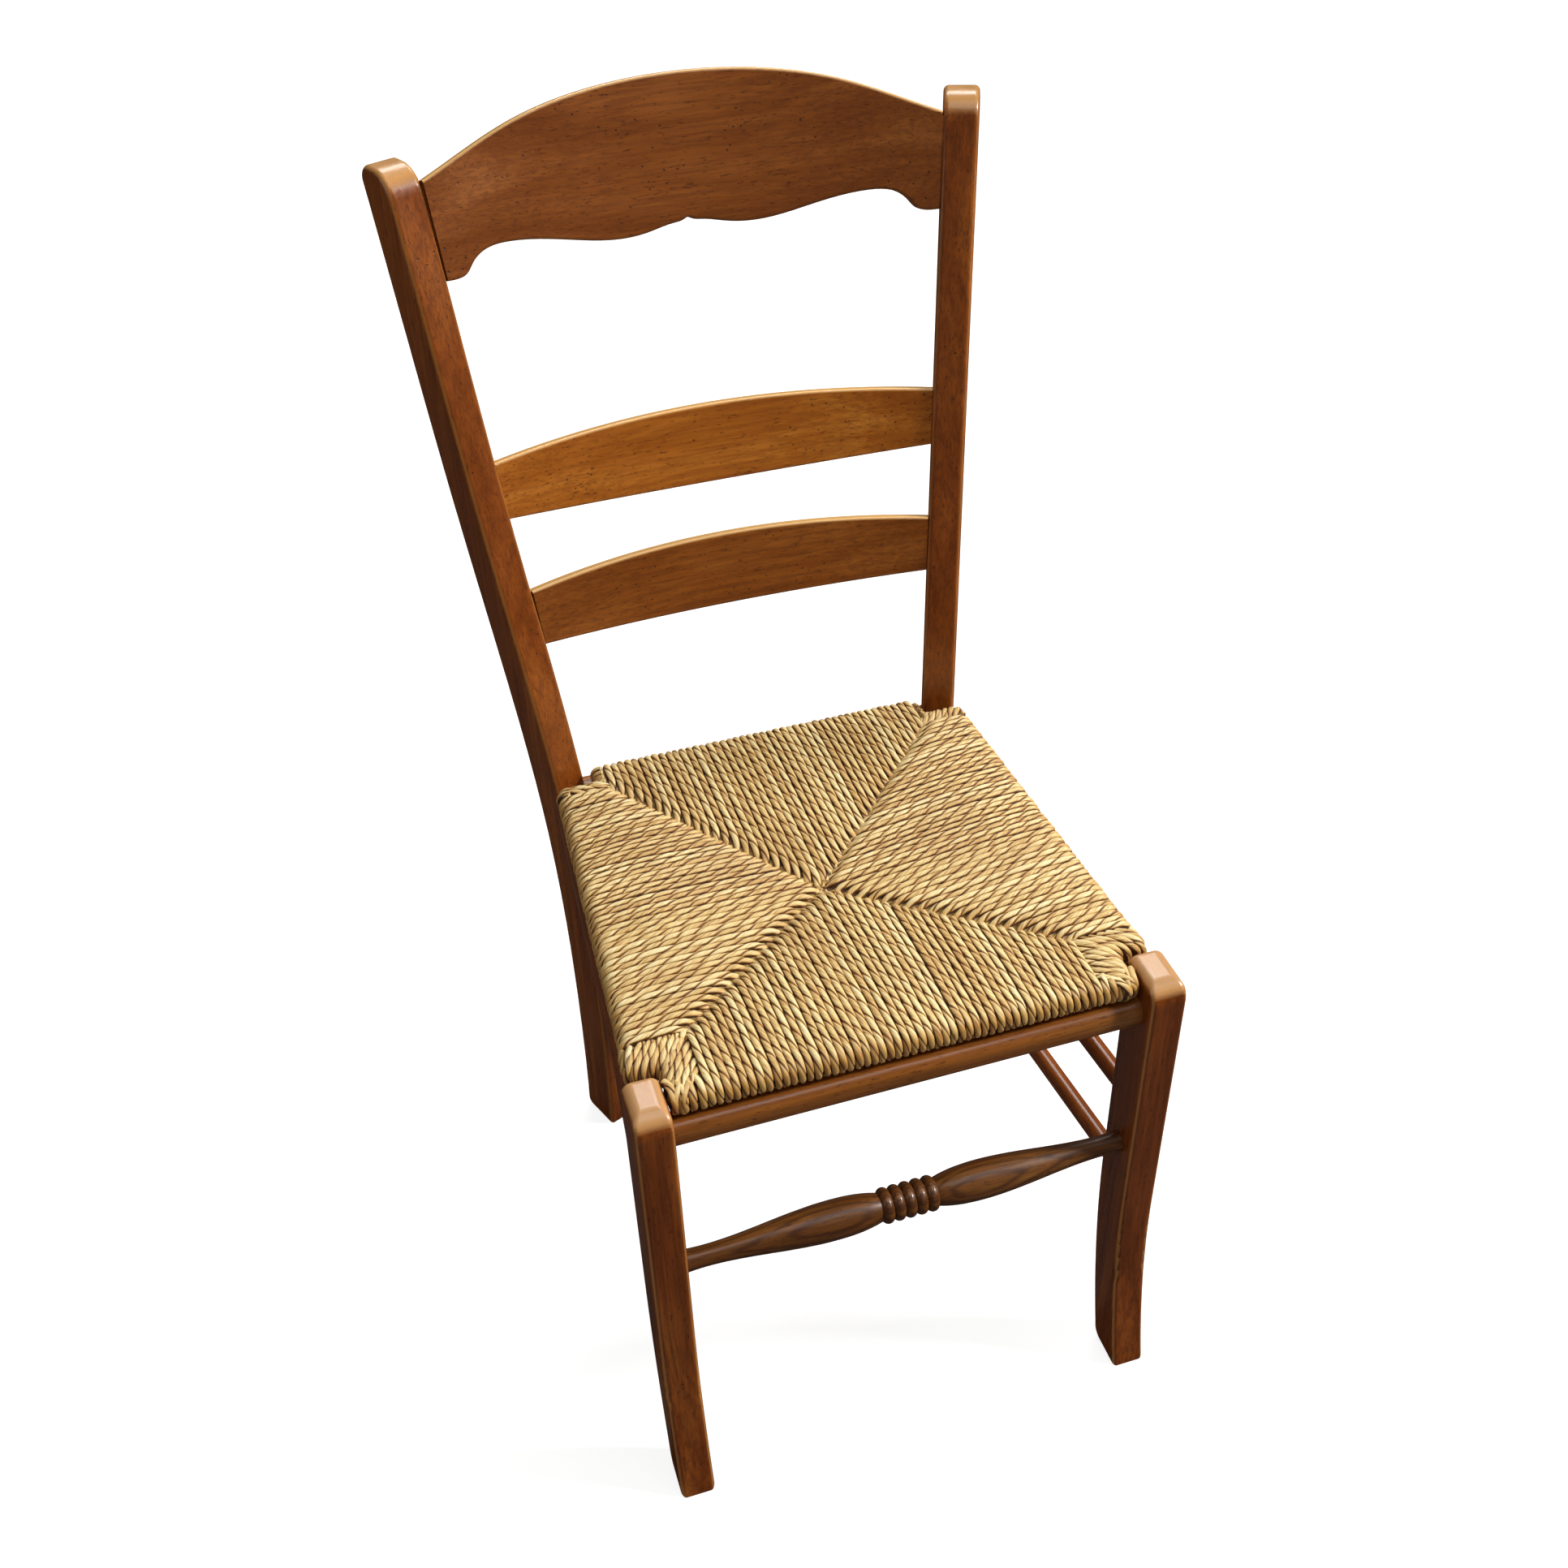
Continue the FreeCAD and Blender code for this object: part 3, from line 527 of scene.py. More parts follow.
@dataclass
class Back(Joinery):
    """Posts, crest rail, slats and the pins through the crest's tenons."""

    post_turn: float = math.radians(22.3)

    def build(self) -> list[Wood]:
        """List the groups of pieces with their finishes.

        Returns:
            One group for each run of grain and shade of stain.
        """
        # crown sets how much painted highlight each piece's upward faces get
        return [
            Wood(StainedBeech(
                "stained_beech_crest", Grain.ACROSS, deep="#622F0F", body="#864816",
                warm="#A86326", crown=0.75, pits=0.55, rings=0.18), ("crest_rail",)),
            Wood(StainedBeech(
                "stained_beech_upper_slat", Grain.ACROSS, deep="#84420F", body="#AC6319",
                warm="#D0882E", crown=0.75, pits=0.5, rings=0.30), ("upper_slat",)),
            Wood(StainedBeech(
                "stained_beech_lower_slat", Grain.ACROSS, deep="#62300D", body="#8A4A12",
                warm="#AE6822", crown=0.75, pits=0.4, rings=0.35), ("lower_slat",)),
            Wood(StainedBeech(
                "stained_beech_right_post", Grain.UPRIGHT, wear=0.3, turn=self.post_turn,
                crown=0.4, pits=0.25), ("rear_post_right",)),
            Wood(StainedBeech(
                "stained_beech_left_post", Grain.UPRIGHT, wear=0.4, turn=-self.post_turn,
                crown=0.4, pits=0.25), ("rear_post_left",)),
            Wood(StainedBeech(
                "stained_beech_pins", Grain.FORE_AND_AFT, body="#6E3A15"), ("crest_pins",)),
        ]


class Base(Joinery):
    """Front legs, seat rails and stretchers."""

    def build(self) -> list[Wood]:
        """List the groups of pieces with their finishes.

        Returns:
            One group for each run of grain.
        """
        sides = ("left", "right")
        lengthwise = tuple(f"{name}_{side}" for side in sides for name in (
            "side_rail", "lower_stretcher", "upper_stretcher"))
        return [
            # On the front legs, crown and pale give a painted highlight on their tops
            Wood(StainedBeech(
                "stained_beech_front_legs", Grain.UPRIGHT, wear=0.6, pits=0.2, crown=0.5,
                pale="#EABB82", deep="#4E2004", body="#8A4208", warm="#B4661C"),
                tuple(f"front_leg_{side}" for side in sides)),
            Wood(StainedBeech(
                "stained_beech_cross_rails", Grain.ACROSS, rings=0.45, deep="#6A3810",
                body="#9A5A1E", warm="#B87A34"),
                ("front_rail", "rear_rail", "rear_stretcher")),
            Wood(StainedBeech(
                "stained_beech_turning", Grain.ACROSS, deep="#40200A", body="#70400F",
                warm="#9C6428", rings=0.75, ring_pitch=0.0042, gloss=0.38), ("front_stretcher",)),
            Wood(StainedBeech(
                "stained_beech_side_rails", Grain.FORE_AND_AFT, rings=0.4), lengthwise),
        ]


class SeatFrame(Joinery):
    """Bars and corner blocks inside the rush, planed and left bare."""

    def build(self) -> list[Wood]:
        """List the bars and blocks.

        Returns:
            Groups by the direction of the grain.
        """
        bare = dict(deep="#B98A57", body="#CFA472", warm="#DDB98A", rings=0.35, gloss=0.6)
        blocks = tuple(f"seat_block_{end}_{side}"
                       for end in ("front", "rear") for side in ("left", "right"))
        return [
            Wood(StainedBeech("bare_beech_across", Grain.ACROSS, **bare),
                 ("seat_front_bar", "seat_rear_bar", *blocks)),
            Wood(StainedBeech("bare_beech_lengthwise", Grain.FORE_AND_AFT, **bare),
                 ("seat_bar_left", "seat_bar_right")),
        ]

    def dress(self) -> None:
        """Finish the seat's inner frame and its packing."""
        super().dress()
        paint_node("straw_packing", LooseStraw().material())


@dataclass
class SeatForm:
    """Plan and section of the rush seat, about the place where its seams meet."""

    top: float
    thickness: float
    front: float
    back: float
    centre: Vector             # where the four seams meet
    half_mid: float            # half width of the seat level with y = mid
    mid: float
    taper: float = 0.0545      # half width lost per unit of depth towards the back
    notch_front_x: float = 0.1885
    notch_front_y: float = 0.0365   # depth of a front notch
    notch_rear_x: float = 0.160
    notch_rear_y: float = 0.024     # depth of a rear notch
    seams: dict[tuple[str, int], tuple[float, float]] = field(default_factory=lambda: {
        ("front", -1): (0.160, 0.067), ("front", 1): (0.158, 0.062),
        ("rear", -1): (0.147, 0.039), ("rear", 1): (0.150, 0.043)})
    dip: float = 0.009         # how far the middle of the top lies below its edge
    corner: float = 0.007      # rounding of an outer corner in plan
    inner: float = 0.004       # rounding of a notch's inner corner in plan

    def half_width(self, y: float) -> float:
        """Half width of the seat at y."""
        return self.half_mid - self.taper * (y - self.mid)

    def seam_end(self, end: str, side: int) -> Vector:
        """Outer end of one seam.

        Args:
            end: "front" or "rear".
            side: Sign of x.

        Returns:
            The point in plan.
        """
        x, depth = self.seams[end, side]
        return Vector((side * x, self.front + depth if end == "front" else self.back - depth))

    def outline(self) -> list[Vector]:
        """Plan with its notches and rounded corners, anticlockwise.

        Returns:
            Points in the plane of the floor.
        """
        step_f = self.front + self.notch_front_y
        step_r = self.back - self.notch_rear_y
        right = [
            (self.notch_front_x, self.front, self.corner),
            (self.notch_front_x, step_f, self.inner),
            (self.half_width(step_f), step_f, self.corner),
            (self.half_width(step_r), step_r, self.corner),
            (self.notch_rear_x, step_r, self.inner),
            (self.notch_rear_x, self.back, self.corner),
        ]
        loop = right + [(-x, y, r) for x, y, r in reversed(right)]
        points = []
        for k, (x, y, radius) in enumerate(loop):
            here = Vector((x, y))
            before = (Vector(loop[k - 1][:2]) - here).normalized()
            after = (Vector(loop[(k + 1) % len(loop)][:2]) - here).normalized()
            start, end = here + before * radius, here + after * radius
            for step in range(ARC_STEPS + 1):
                t = step / ARC_STEPS
                points.append((1 - t) ** 2 * start + 2 * t * (1 - t) * here + t * t * end)
        return points

    def reach(self, start: Vector, way: Vector) -> tuple[float, float]:
        """Distance from a point inside the plan to its edge.

        Args:
            start: Point inside the plan.
            way: Unit direction in plan.

        Returns:
            Distance to the nearest crossing, and how squarely the edge is met there.
        """
        points = self.outline()
        best, square = 0.0, 1.0
        for a, b in zip(points, points[1:] + points[:1]):
            side = b - a
            cross = way.x * side.y - way.y * side.x
            if abs(cross) < PARALLEL:
                continue
            gap = a - start
            t = (gap.x * side.y - gap.y * side.x) / cross
            u = (gap.x * way.y - gap.y * way.x) / cross
            if t > TOUCH and -SLACK <= u <= 1 + SLACK and (best == 0.0 or t < best):
                best, square = t, abs(cross) / side.length
        return best, square

    def sag(self, at: Vector) -> float:
        """How far the seat's dished top lies below its edge at a point.

        Args:
            at: Point in plan.

        Returns:
            Depth in metres.
        """
        ring = [self.seam_end("front", -1), self.seam_end("front", 1),
                self.seam_end("rear", 1), self.seam_end("rear", -1)]
        gap = at - self.centre
        for a, b in zip(ring, ring[1:] + ring[:1]):
            one, two = a - self.centre, b - self.centre
            area = one.x * two.y - one.y * two.x
            near_a = (gap.x * two.y - gap.y * two.x) / area
            near_b = (one.x * gap.y - one.y * gap.x) / area
            if near_a >= 0 and near_b >= 0:
                return self.dip * max(0.0, 1 - near_a - near_b)
        return self.dip


@dataclass
class Strand:
    """One cord's centreline, from its seam out to the edge of the seat."""

    start: Vector
    way: Vector
    lean: Vector               # direction in which the seam pulls the cord's end
    dive: float = 1.0          # how far its inner end dives, as a share


@dataclass
class RushSeat:
    """The seat's rush: cords wound over four sides and four notched corners."""

    form: SeatForm
    pitch: float = 0.0064      # between neighbouring cords
    cord_radius: float = 0.00335
    corner_pitch: float = 0.0053
    lay: float = 0.034         # length of one full turn of the two plies
    groove: float = 0.26       # depth of the groove between the plies, of the radius
    stray: float = 0.35        # millimetres that a cord strays sideways and up
    pull: float = 0.003        # how far a seam pulls a cord's end along
    dive_depth: float = 0.006  # how far a cord's end dives into its seam
    dive_length: float = 0.014     # over which it dives
    step: float = 0.005        # between points of a centreline
    least: float = 0.002       # a shorter flat run is left out
    roll_steps: int = 8        # straight pieces in the roll over the edge
    seam_gap: float = 0.0025   # between a corner's root and its slanting cords
    edge_room: float = 0.003   # left free where a corner meets the seat's side
    tuck: float = 0.004        # how far short cords begin inside a front corner's end
    swell: float = 1.4 * MM    # most that a cord rises between its ends
    swell_share: float = 0.012     # the same for a short cord, as a share of its run
    squarest: float = 0.6      # least squareness used for the roll over the edge
    under_sag: float = 0.2     # sag of the under face, as a share of the top's
    seed: int = 11
    rng: random.Random = field(init=False)
    slants: dict[tuple[str, int], float] = field(default_factory=lambda: {
        ("front", -1): 37.0, ("front", 1): 46.0, ("rear", -1): 62.0, ("rear", 1): 44.0})
    corner_depth: dict[str, float] = field(default_factory=lambda: {
        "front": 0.047, "rear": 0.034})
    fineness: dict[Face, tuple[float, int]] = field(default_factory=lambda: {
        Face.UPPER: (0.0023, 12), Face.UNDER: (0.0045, 8)})     # step along, sides round

    def __post_init__(self) -> None:
        """Start the draws that let each cord stray."""
        self.rng = random.Random(self.seed)

    def panel(self, low: Vector, high: Vector, axis: int, way: Vector,
              split: float) -> list[Strand]:
        """Cords of one panel, side by side between the outer ends of its two seams.

        Args:
            low: Outer end of the seam with the lower coordinate.
            high: Outer end of the other seam.
            axis: 0 where the cords lie side by side along X, 1 along Y.
            way: Direction of the cords, outwards.
            split: Coordinate at which the seams' pull changes its sign.

        Returns:
            The cords in rising order.
        """
        middle, other = self.form.centre, 1 - axis
        count = round((high[axis] - low[axis]) / self.pitch)
        strands = []
        for k in range(count):
            place = low[axis] + (k + 0.5) / count * (high[axis] - low[axis])
            outer = low if place < middle[axis] else high
            share = (place - middle[axis]) / (outer[axis] - middle[axis])
            start = [middle[other] + share * (outer[other] - middle[other])] * 2
            start[axis] = place
            lean = Vector((0.0, 0.0))
            lean[axis] = -1 if place < split else 1
            strands.append(Strand(Vector(start), way, lean))
        return strands

    def corner_strands(self, end: str, side: int) -> list[Strand]:
        """Cords of one notched corner: slanting, with short ones beside a front leg.

        Args:
            end: "front" or "rear".
            side: Sign of x.

        Returns:
            The cords.
        """
        root = self.form.seam_end(end, side)
        x0, y0 = abs(root.x), root.y
        fore = -1 if end == "front" else 1
        angle = math.radians(self.slants[end, side])
        slant = Vector((side * math.sin(angle), fore * math.cos(angle)))
        wide = self.form.half_width(y0) - x0 - self.edge_room
        deep = self.corner_depth[end]
        strands = []
        step = self.corner_pitch / math.cos(angle)
        for k in range(int(wide / step + 0.5)):
            start = root + Vector((side * (k + 0.3) * step, fore * self.seam_gap))
            strands.append(Strand(start, slant, -slant, 0.5))
        step = self.corner_pitch / math.sin(angle)
        for k in range(int(deep / step + 0.3)):
            start = root + Vector((side * self.seam_gap, fore * (k + 0.7) * step))
            strands.append(Strand(start, slant, -slant, 0.5))
        if end == "front":
            room = self.form.notch_front_x - x0
            count = round(room / self.pitch)
            for k in range(count):
                x = x0 + (k + 0.5) * room / count
                start = Vector((side * x, y0 - deep + self.tuck))
                strands.append(Strand(start, Vector((0, -1)), Vector((side, 0)), 0.3))
        return strands

    def centreline(self, strand: Strand, face: Face) -> list[Vector]:
        """Points of a cord on the upper or the under face.

        Args:
            strand: The cord in plan.
            face: Upper cords also roll over the edge.

        Returns:
            Points in space.
        """
        form = self.form
        mid_z = form.top - form.thickness / 2
        roll = form.thickness / 2 - self.cord_radius
        reach, square = form.reach(strand.start, strand.way)
        wide = roll / max(square, self.squarest)     # a slanting cord takes longer to go round
        run = reach - wide - self.cord_radius
        height = self.rng.uniform(-self.stray, self.stray) * MM
        drift = self.rng.uniform(-self.stray, self.stray) * MM
        aside = Vector((-strand.way.y, strand.way.x))
        crown = min(self.swell, max(run, 0.0) * self.swell_share)
        points = []
        steps = max(4, round(run / self.step))
        for k in range(steps + 1 if run > self.least else 0):
            s = run * k / steps
            near = max(0.0, 1 - s / self.dive_length) ** 2
            flat = strand.start + strand.way * s + aside * drift
            flat = flat + strand.lean * (self.pull * near)
            fall = form.sag(flat) if face is Face.UPPER else form.sag(flat) * self.under_sag
            lift = crown * math.sin(math.pi * s / run) + height
            drop = fall + self.dive_depth * strand.dive * near - lift
            z = mid_z + face.value * (roll - drop)
            points.append(Vector((flat.x, flat.y, z)))
        if face is Face.UPPER:
            rim = strand.start + strand.way * run + aside * drift
            first = math.acos(min(1.0, max(0.0, -run / wide)))
            for k in range(0 if run <= self.least else 1, self.roll_steps + 1):
                angle = first - (first + math.pi / 2) * k / self.roll_steps
                out = rim + strand.way * (wide * math.cos(angle))
                points.append(Vector((out.x, out.y, mid_z + roll * math.sin(angle))))
        return points

    def lines(self, name: str, strands: list[Strand], face: Face) -> Thing:
        """Curve object that holds the cords' centrelines.

        Args:
            name: Name of the piece.
            strands: The cords.
            face: Face of the seat.

        Returns:
            The curve object.
        """
        data = bpy.data.curves.new(name, "CURVE")
        data.dimensions = "3D"
        for strand in strands:
            points = self.centreline(strand, face)
            if len(points) < 2:
                continue
            spline = data.splines.new("POLY")
            spline.points.add(len(points) - 1)
            for point, place in zip(spline.points, points):
                point.co = (*place, 1.0)
        return link(name, data)

    def twist_tree(self, material: Material) -> Tree:
        """Tree that turns centrelines into cords of two plies.

        Args:
            material: Finish of the rush.

        Returns:
            The node group, with its sizes as named inputs.
        """
        tree = bpy.data.node_groups.new("two_ply_cord", "GeometryNodeTree")
        face = tree.interface
        face.new_socket("Geometry", in_out="INPUT", socket_type="NodeSocketGeometry")
        for name, kind in (("Radius", "NodeSocketFloat"), ("Groove", "NodeSocketFloat"),
                           ("Lay Length", "NodeSocketFloat"), ("Step", "NodeSocketFloat"),
                           ("Sides", "NodeSocketInt"), ("Seed", "NodeSocketInt")):
            face.new_socket(name, in_out="INPUT", socket_type=kind)
        face.new_socket("Geometry", in_out="OUTPUT", socket_type="NodeSocketGeometry")
        given = add(tree, "NodeGroupInput").outputs
        curve = add(tree, "GeometryNodeResampleCurve", {
            "Curve": given["Geometry"], "Length": given["Step"]}, mode="LENGTH")
        index = add(tree, "GeometryNodeFieldOnDomain", {
            "Value": add(tree, "GeometryNodeInputIndex").outputs[0]},
            domain="CURVE", data_type="INT").outputs[0]

        def chance(low: float, high: float, seed: object) -> Socket:
            """Random number that is the same all along a cord."""
            return add(tree, "FunctionNodeRandomValue", {
                "Min_001": low, "Max_001": high, "ID": index, "Seed": seed},
                data_type="FLOAT").outputs["Value"]

        def kept(on: Socket, *rows: tuple[str, str, Socket]) -> Socket:
            """Geometry that keeps named values at its points."""
            for name, kind, value in rows:
                on = add(tree, "GeometryNodeStoreNamedAttribute", {
                    "Geometry": on, "Name": name, "Value": value},
                    data_type=kind, domain="POINT").outputs[0]
            return on

        maths = partial(reckon, tree)
        length = add(tree, "GeometryNodeSplineParameter").outputs["Length"]
        turns = maths("MULTIPLY", maths("DIVIDE", length, given["Lay Length"]),
                      chance(0.85, 1.18, 5))
        drift = add(tree, "ShaderNodeTexNoise", {
            "Vector": add(tree, "ShaderNodeCombineXYZ", {
                0: maths("MULTIPLY", length, 28.0), 1: index}).outputs[0],
            "Scale": 1.0, "Detail": 1.0}).outputs[0]
        twist = maths("ADD", maths("MULTIPLY_ADD", turns, -2 * math.pi,
                                   chance(0.0, 2 * math.pi, given["Seed"])),
                      maths("MULTIPLY", drift, 3.0))
        aside = add(tree, "GeometryNodeInputNormal").outputs["Normal"]
        steep = maths("ABSOLUTE", add(tree, "ShaderNodeSeparateXYZ", {
            "Vector": add(tree, "GeometryNodeInputTangent").outputs[0]}).outputs[2])
        stored = kept(curve.outputs[0], ("run", "FLOAT", length),
                      ("tone", "FLOAT", chance(-0.05, 0.15, 21)), ("rim", "FLOAT", steep),
                      ("aside", "FLOAT_VECTOR", aside))
        turned = add(tree, "GeometryNodeSetCurveTilt", {"Curve": stored, "Tilt": twist})
        # The profile: two round plies with a narrow groove between them
        ring = add(tree, "GeometryNodeCurvePrimitiveCircle", {
            "Resolution": given["Sides"], "Radius": given["Radius"]}).outputs[0]
        place = add(tree, "GeometryNodeInputPosition").outputs[0]
        unit = add(tree, "ShaderNodeVectorMath", {0: place}, operation="NORMALIZE").outputs[0]
        level = maths("ABSOLUTE", add(tree, "ShaderNodeSeparateXYZ", {
            "Vector": unit}).outputs[0])
        crease = maths("POWER", maths("SUBTRACT", 1.0, level), 2.4)
        ring = kept(ring, ("skin", "FLOAT_VECTOR", unit), ("crease", "FLOAT", crease))
        shrink = maths("SUBTRACT", 1.0, maths("MULTIPLY", add(
            tree, "GeometryNodeInputNamedAttribute", {"Name": "crease"},
            data_type="FLOAT").outputs[0], given["Groove"]))
        ring = add(tree, "GeometryNodeSetPosition", {
            "Geometry": ring, "Position": add(tree, "ShaderNodeVectorMath", {
                0: place, "Scale": shrink}, operation="SCALE").outputs[0]}).outputs[0]
        thick = maths("MULTIPLY_ADD", drift, 0.30, chance(0.80, 0.92, 9))
        cord = add(tree, "GeometryNodeCurveToMesh", {
            "Curve": turned.outputs[0], "Profile Curve": ring, "Scale": thick,
            "Fill Caps": True})
        smooth = add(tree, "GeometryNodeSetShadeSmooth", {"Geometry": cord.outputs[0]})
        real = add(tree, "GeometryNodeRealizeInstances", {"Geometry": smooth.outputs[0]})
        dressed = add(tree, "GeometryNodeSetMaterial", {
            "Geometry": real.outputs[0], "Material": material})
        add(tree, "NodeGroupOutput", {"Geometry": dressed.outputs[0]})
        return tree

    def wound(self, lines: Thing, tree: Tree, face: Face) -> Thing:
        """Twist the cords and keep them as a plain mesh.

        Args:
            lines: Curve object with the centrelines.
            tree: The twisting tree.
            face: Under cords are made with fewer faces.

        Returns:
            The mesh object.
        """
        step, sides = self.fineness[face]
        sizes = {"Radius": self.cord_radius, "Groove": self.groove, "Lay Length": self.lay,
                 "Step": step, "Sides": sides, "Seed": self.seed}
        modifier = lines.modifiers.new("twist", "NODES")
        modifier.node_group = tree
        for socket in tree.interface.items_tree:
            if socket.name in sizes and socket.in_out == "INPUT":
                modifier[socket.identifier] = sizes[socket.name]
        graph = bpy.context.evaluated_depsgraph_get()
        mesh = bpy.data.meshes.new_from_object(lines.evaluated_get(graph))
        name = lines.name
        lines.modifiers.remove(modifier)
        bpy.data.objects.remove(lines)
        mesh.name = name
        return link(name, mesh)

    def lining(self, material: Material) -> Thing:
        """Closed inner layer under the cords, coloured dark brown as painted shade in the gaps
        between them.

        Args:
            material: Finish of the layer.

        Returns:
            The mesh object.
        """
        form = self.form
        deep = 1.55 * self.cord_radius       # of the layer's two faces below the cords' tops
        centre = form.centre
        verts: list[tuple[float, float, float]] = []
        ring = form.outline()
        base = form.top - form.thickness
        shoulder = 0.010
        wide, narrow = 0.0052, 0.009         # how far it keeps inside the plan
        for z, inset in ((form.top - deep, narrow), (form.top - shoulder, wide),
                         (base + shoulder, wide), (base + deep, narrow)):
            for at in ring:
                inward = (centre - at).normalized()
                flat = at + Vector((math.copysign(inset, inward.x),
                                    math.copysign(inset, inward.y)))
                verts.append((flat.x, flat.y, z))
        count = len(ring)
        faces: list[tuple[int, ...]] = []
        for level in range(3):
            for k in range(count):
                a, b = level * count + k, level * count + (k + 1) % count
                faces.append((a + count, b + count, b, a))
        top = len(verts)
        verts.append((centre.x, centre.y, form.top - deep - form.dip))
        verts.append((centre.x, centre.y, base + deep + 2 * MM))
        for k in range(count):
            after = (k + 1) % count
            faces.append((k, after, top))
            faces.append((3 * count + after, 3 * count + k, top + 1))
        mesh = bpy.data.meshes.new("rush_lining_painted_shade")
        mesh.from_pydata(verts, [], faces)
        mesh.materials.append(material)
        return link("rush_lining_painted_shade", mesh)

    def build(self) -> list[Thing]:
        """Wind the whole seat.

        Returns:
            The pieces that stand for the rush cover.
        """
        rush = RushCord("twisted_rush").material()
        # The lining's dark browns are painted shade in the gaps between the cords
        shade = RushCord("rush_lining_painted_shade", pale="#7A5427", mid="#5A3A18", brown="#3C2410").material()
        tree = self.twist_tree(rush)
        seam, middle = self.form.seam_end, self.form.centre
        runs = {
            "front": self.panel(seam("front", -1), seam("front", 1), 0, Vector((0, -1)), 0.0),
            "back": self.panel(seam("rear", -1), seam("rear", 1), 0, Vector((0, 1)), 0.0),
            "left": self.panel(seam("front", -1), seam("rear", -1), 1, Vector((-1, 0)), middle.y),
            "right": self.panel(seam("front", 1), seam("rear", 1), 1, Vector((1, 0)), middle.y)}
        runs["corners"] = [strand for end in ("front", "rear") for side in (-1, 1)
                           for strand in self.corner_strands(end, side)]
        pieces = []
        for face, word in ((Face.UPPER, "upper"), (Face.UNDER, "under")):
            for name, strands in runs.items():
                lines = self.lines(f"rush_{word}_{name}", strands, face)
                pieces.append(self.wound(lines, tree, face))
                LOG.info("rush_%s_%s: %d cords", word, name, len(strands))
        pieces.append(self.lining(shade))
        return pieces

    def dress(self) -> None:
        """Put the rush in place of the plain cover."""
        for piece in self.build():
            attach(piece, "root")
            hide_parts("rush_cover")


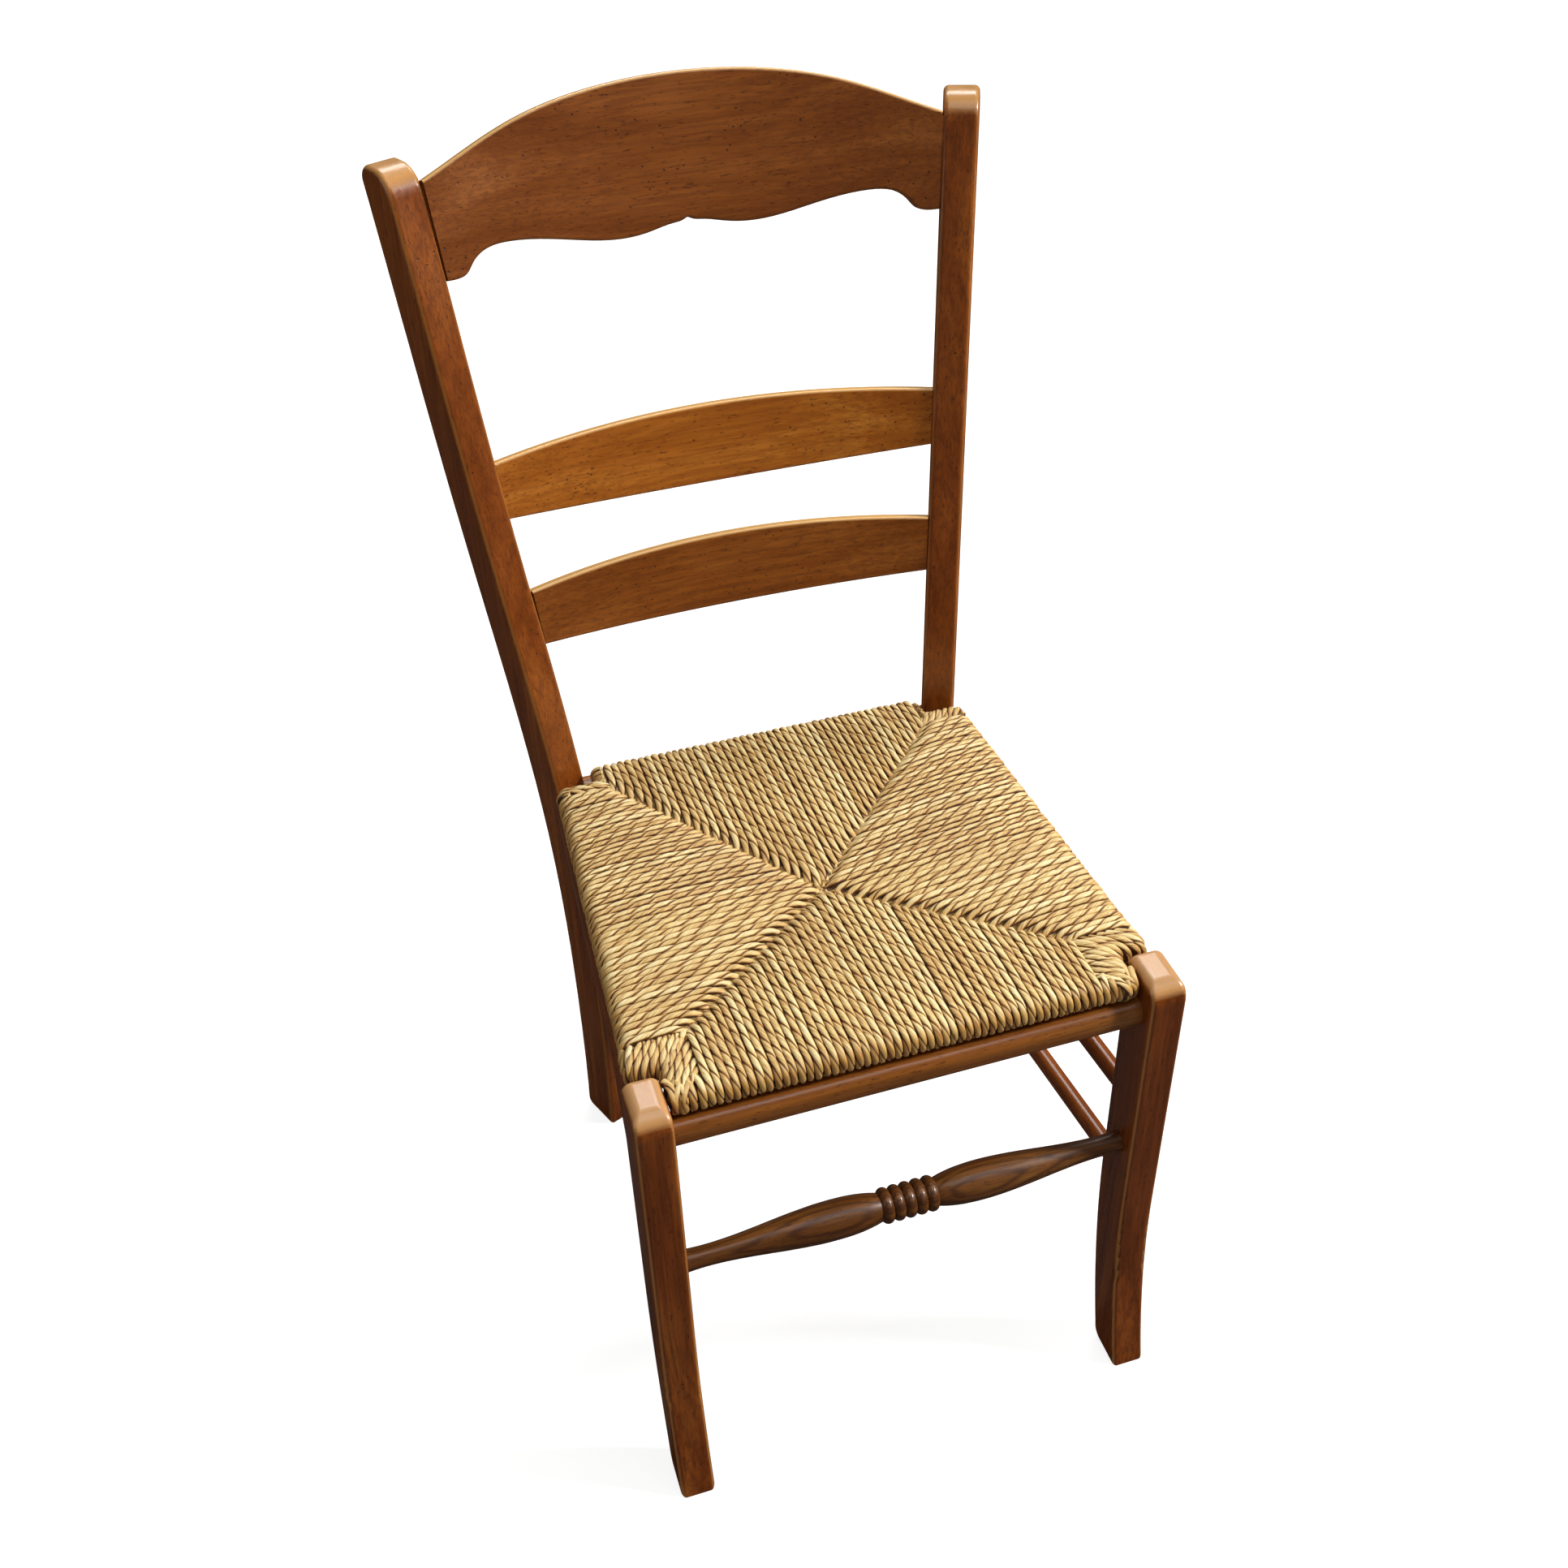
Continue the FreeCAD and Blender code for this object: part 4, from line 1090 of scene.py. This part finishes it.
@dataclass
class Studio:
    """Pale floor, soft lamps and the camera at the photograph's angle."""

    eye: tuple[float, float, float] = (-0.3355, -1.06402, 1.4153)
    yaw: float = 15.517        # degrees to the right of straight ahead
    pitch: float = 38.736      # degrees down
    roll: float = -2.321
    focal: float = 2080.7      # pixels, for an image 1932 wide
    axis: tuple[float, float] = (929.8, 943.2)
    image: float = 1932.0

    def camera(self) -> None:
        """Set the camera where the photograph was taken."""
        yaw, pitch, roll = (math.radians(v) for v in (self.yaw, self.pitch, self.roll))
        ahead = Vector((math.sin(yaw) * math.cos(pitch), math.cos(yaw) * math.cos(pitch),
                        -math.sin(pitch)))
        right = Vector((math.cos(yaw), -math.sin(yaw), 0.0))
        up = right.cross(ahead)
        side = right * math.cos(roll) + up * math.sin(roll)
        head = up * math.cos(roll) - right * math.sin(roll)
        turn = Matrix((side, head, -ahead)).transposed().to_4x4()
        data = bpy.data.cameras.new("camera")
        data.sensor_fit = "HORIZONTAL"
        data.sensor_width = 36.0
        data.lens = self.focal / self.image * data.sensor_width
        data.shift_x = 0.5 - self.axis[0] / self.image
        data.shift_y = self.axis[1] / self.image - 0.5
        made = link("camera", data)
        made.matrix_world = Matrix.Translation(self.eye) @ turn
        bpy.context.scene.camera = made

    def lamp(self, name: str, place: tuple[float, float, float],
             size: tuple[float, float], power: float) -> None:
        """Add one soft lamp that looks at the seat.

        Args:
            name: Lamp's name.
            place: Where it hangs.
            size: Width and height.
            power: Watts.
        """
        data = bpy.data.lights.new(name, "AREA")
        data.shape = "RECTANGLE"
        data.size, data.size_y = size
        data.energy = power
        made = link(name, data)
        aim = Vector((0.0, 0.0, 0.5)) - Vector(place)
        made.rotation_euler = aim.to_track_quat("-Z", "Y").to_euler()
        made.location = place

    def floor(self) -> None:
        """Lay a pale floor that keeps the chair's soft shadow."""
        mesh = bpy.data.meshes.new("floor")
        reach, level = 40.0, -0.5 * MM
        mesh.from_pydata([(-reach, -reach, level), (reach, -reach, level),
                          (reach, reach, level), (-reach, reach, level)], [], [(0, 1, 2, 3)])
        made = link("floor", mesh)
        paint, tree, shader = blank_material("white_floor_paint")
        shader.inputs["Roughness"].default_value = 0.9
        shader.inputs["Specular IOR Level"].default_value = 0.0
        path = add(tree, "ShaderNodeLightPath")
        # White to the eye: the near floor glows less, so that the chair's shadow shows
        away = add(tree, "ShaderNodeVectorMath", {
            0: add(tree, "ShaderNodeTexCoord").outputs["Object"]}, operation="LENGTH")
        white = scaled(tree, away.outputs["Value"], (0.9, 2.6), (0.86, 1.0))
        glow = reckon(tree, "MULTIPLY", path.outputs["Is Camera Ray"], white)
        # Varnish would mirror so wide a floor as a grey veil
        seen = blend(tree, path.outputs["Is Glossy Ray"], linear("#A4A4A2"), linear("#3C3A38"))
        tree.links.new(seen, shader.inputs["Base Color"])
        shader.inputs["Emission Color"].default_value = (1, 1, 1, 1)
        tree.links.new(glow, shader.inputs["Emission Strength"])
        # From below the floor isn't seen
        side = add(tree, "ShaderNodeMixShader", {
            0: add(tree, "ShaderNodeNewGeometry").outputs["Backfacing"],
            1: shader.outputs[0], 2: add(tree, "ShaderNodeBsdfTransparent").outputs[0]})
        tree.links.new(side.outputs[0], tree.nodes["Material Output"].inputs["Surface"])
        mesh.materials.append(paint)

    def world(self) -> None:
        """Fill the room with even white light."""
        room = bpy.data.worlds.new("room")
        bpy.context.scene.world = room
        room.use_nodes = True
        tree = room.node_tree
        tree.nodes.clear()
        path = add(tree, "ShaderNodeLightPath")
        level = scaled(tree, path.outputs["Is Camera Ray"], (0.0, 1.0), (0.10, 1.0))
        glow = add(tree, "ShaderNodeBackground", {"Color": (1, 1, 1, 1), "Strength": level})
        add(tree, "ShaderNodeOutputWorld", {"Surface": glow.outputs[0]})

    def build(self) -> None:
        """Set up the studio."""
        self.world()
        self.floor()
        self.lamp("key", (3.9, -1.3, 3.4), (0.75, 0.75), 262.0)
        self.lamp("overhead", (0.3, -0.7, 3.2), (1.6, 1.6), 18.0)
        self.lamp("window", (0.75, 1.9, 2.95), (2.0, 0.8), 52.0)
        self.lamp("fill", (-2.6, -0.3, 1.7), (1.6, 1.6), 10.0)
        self.camera()
        bpy.context.scene.view_settings.view_transform = "Standard"


def main() -> None:
    """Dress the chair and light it."""
    logging.basicConfig(level=logging.INFO, format="%(message)s")
    low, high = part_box("rush_cover")
    form = SeatForm(top=high.z, thickness=high.z - low.z, front=low.y, back=high.y,
                    centre=Vector((SEAMS_MEET[0], low.y + SEAMS_MEET[1])),
                    half_mid=HALF_WIDTH[0], mid=low.y + HALF_WIDTH[1])
    for part in (Back(), Base(), SeatFrame(), RushSeat(form)):
        part.dress()
    Studio().build()


if __name__ == "__main__":
    main()
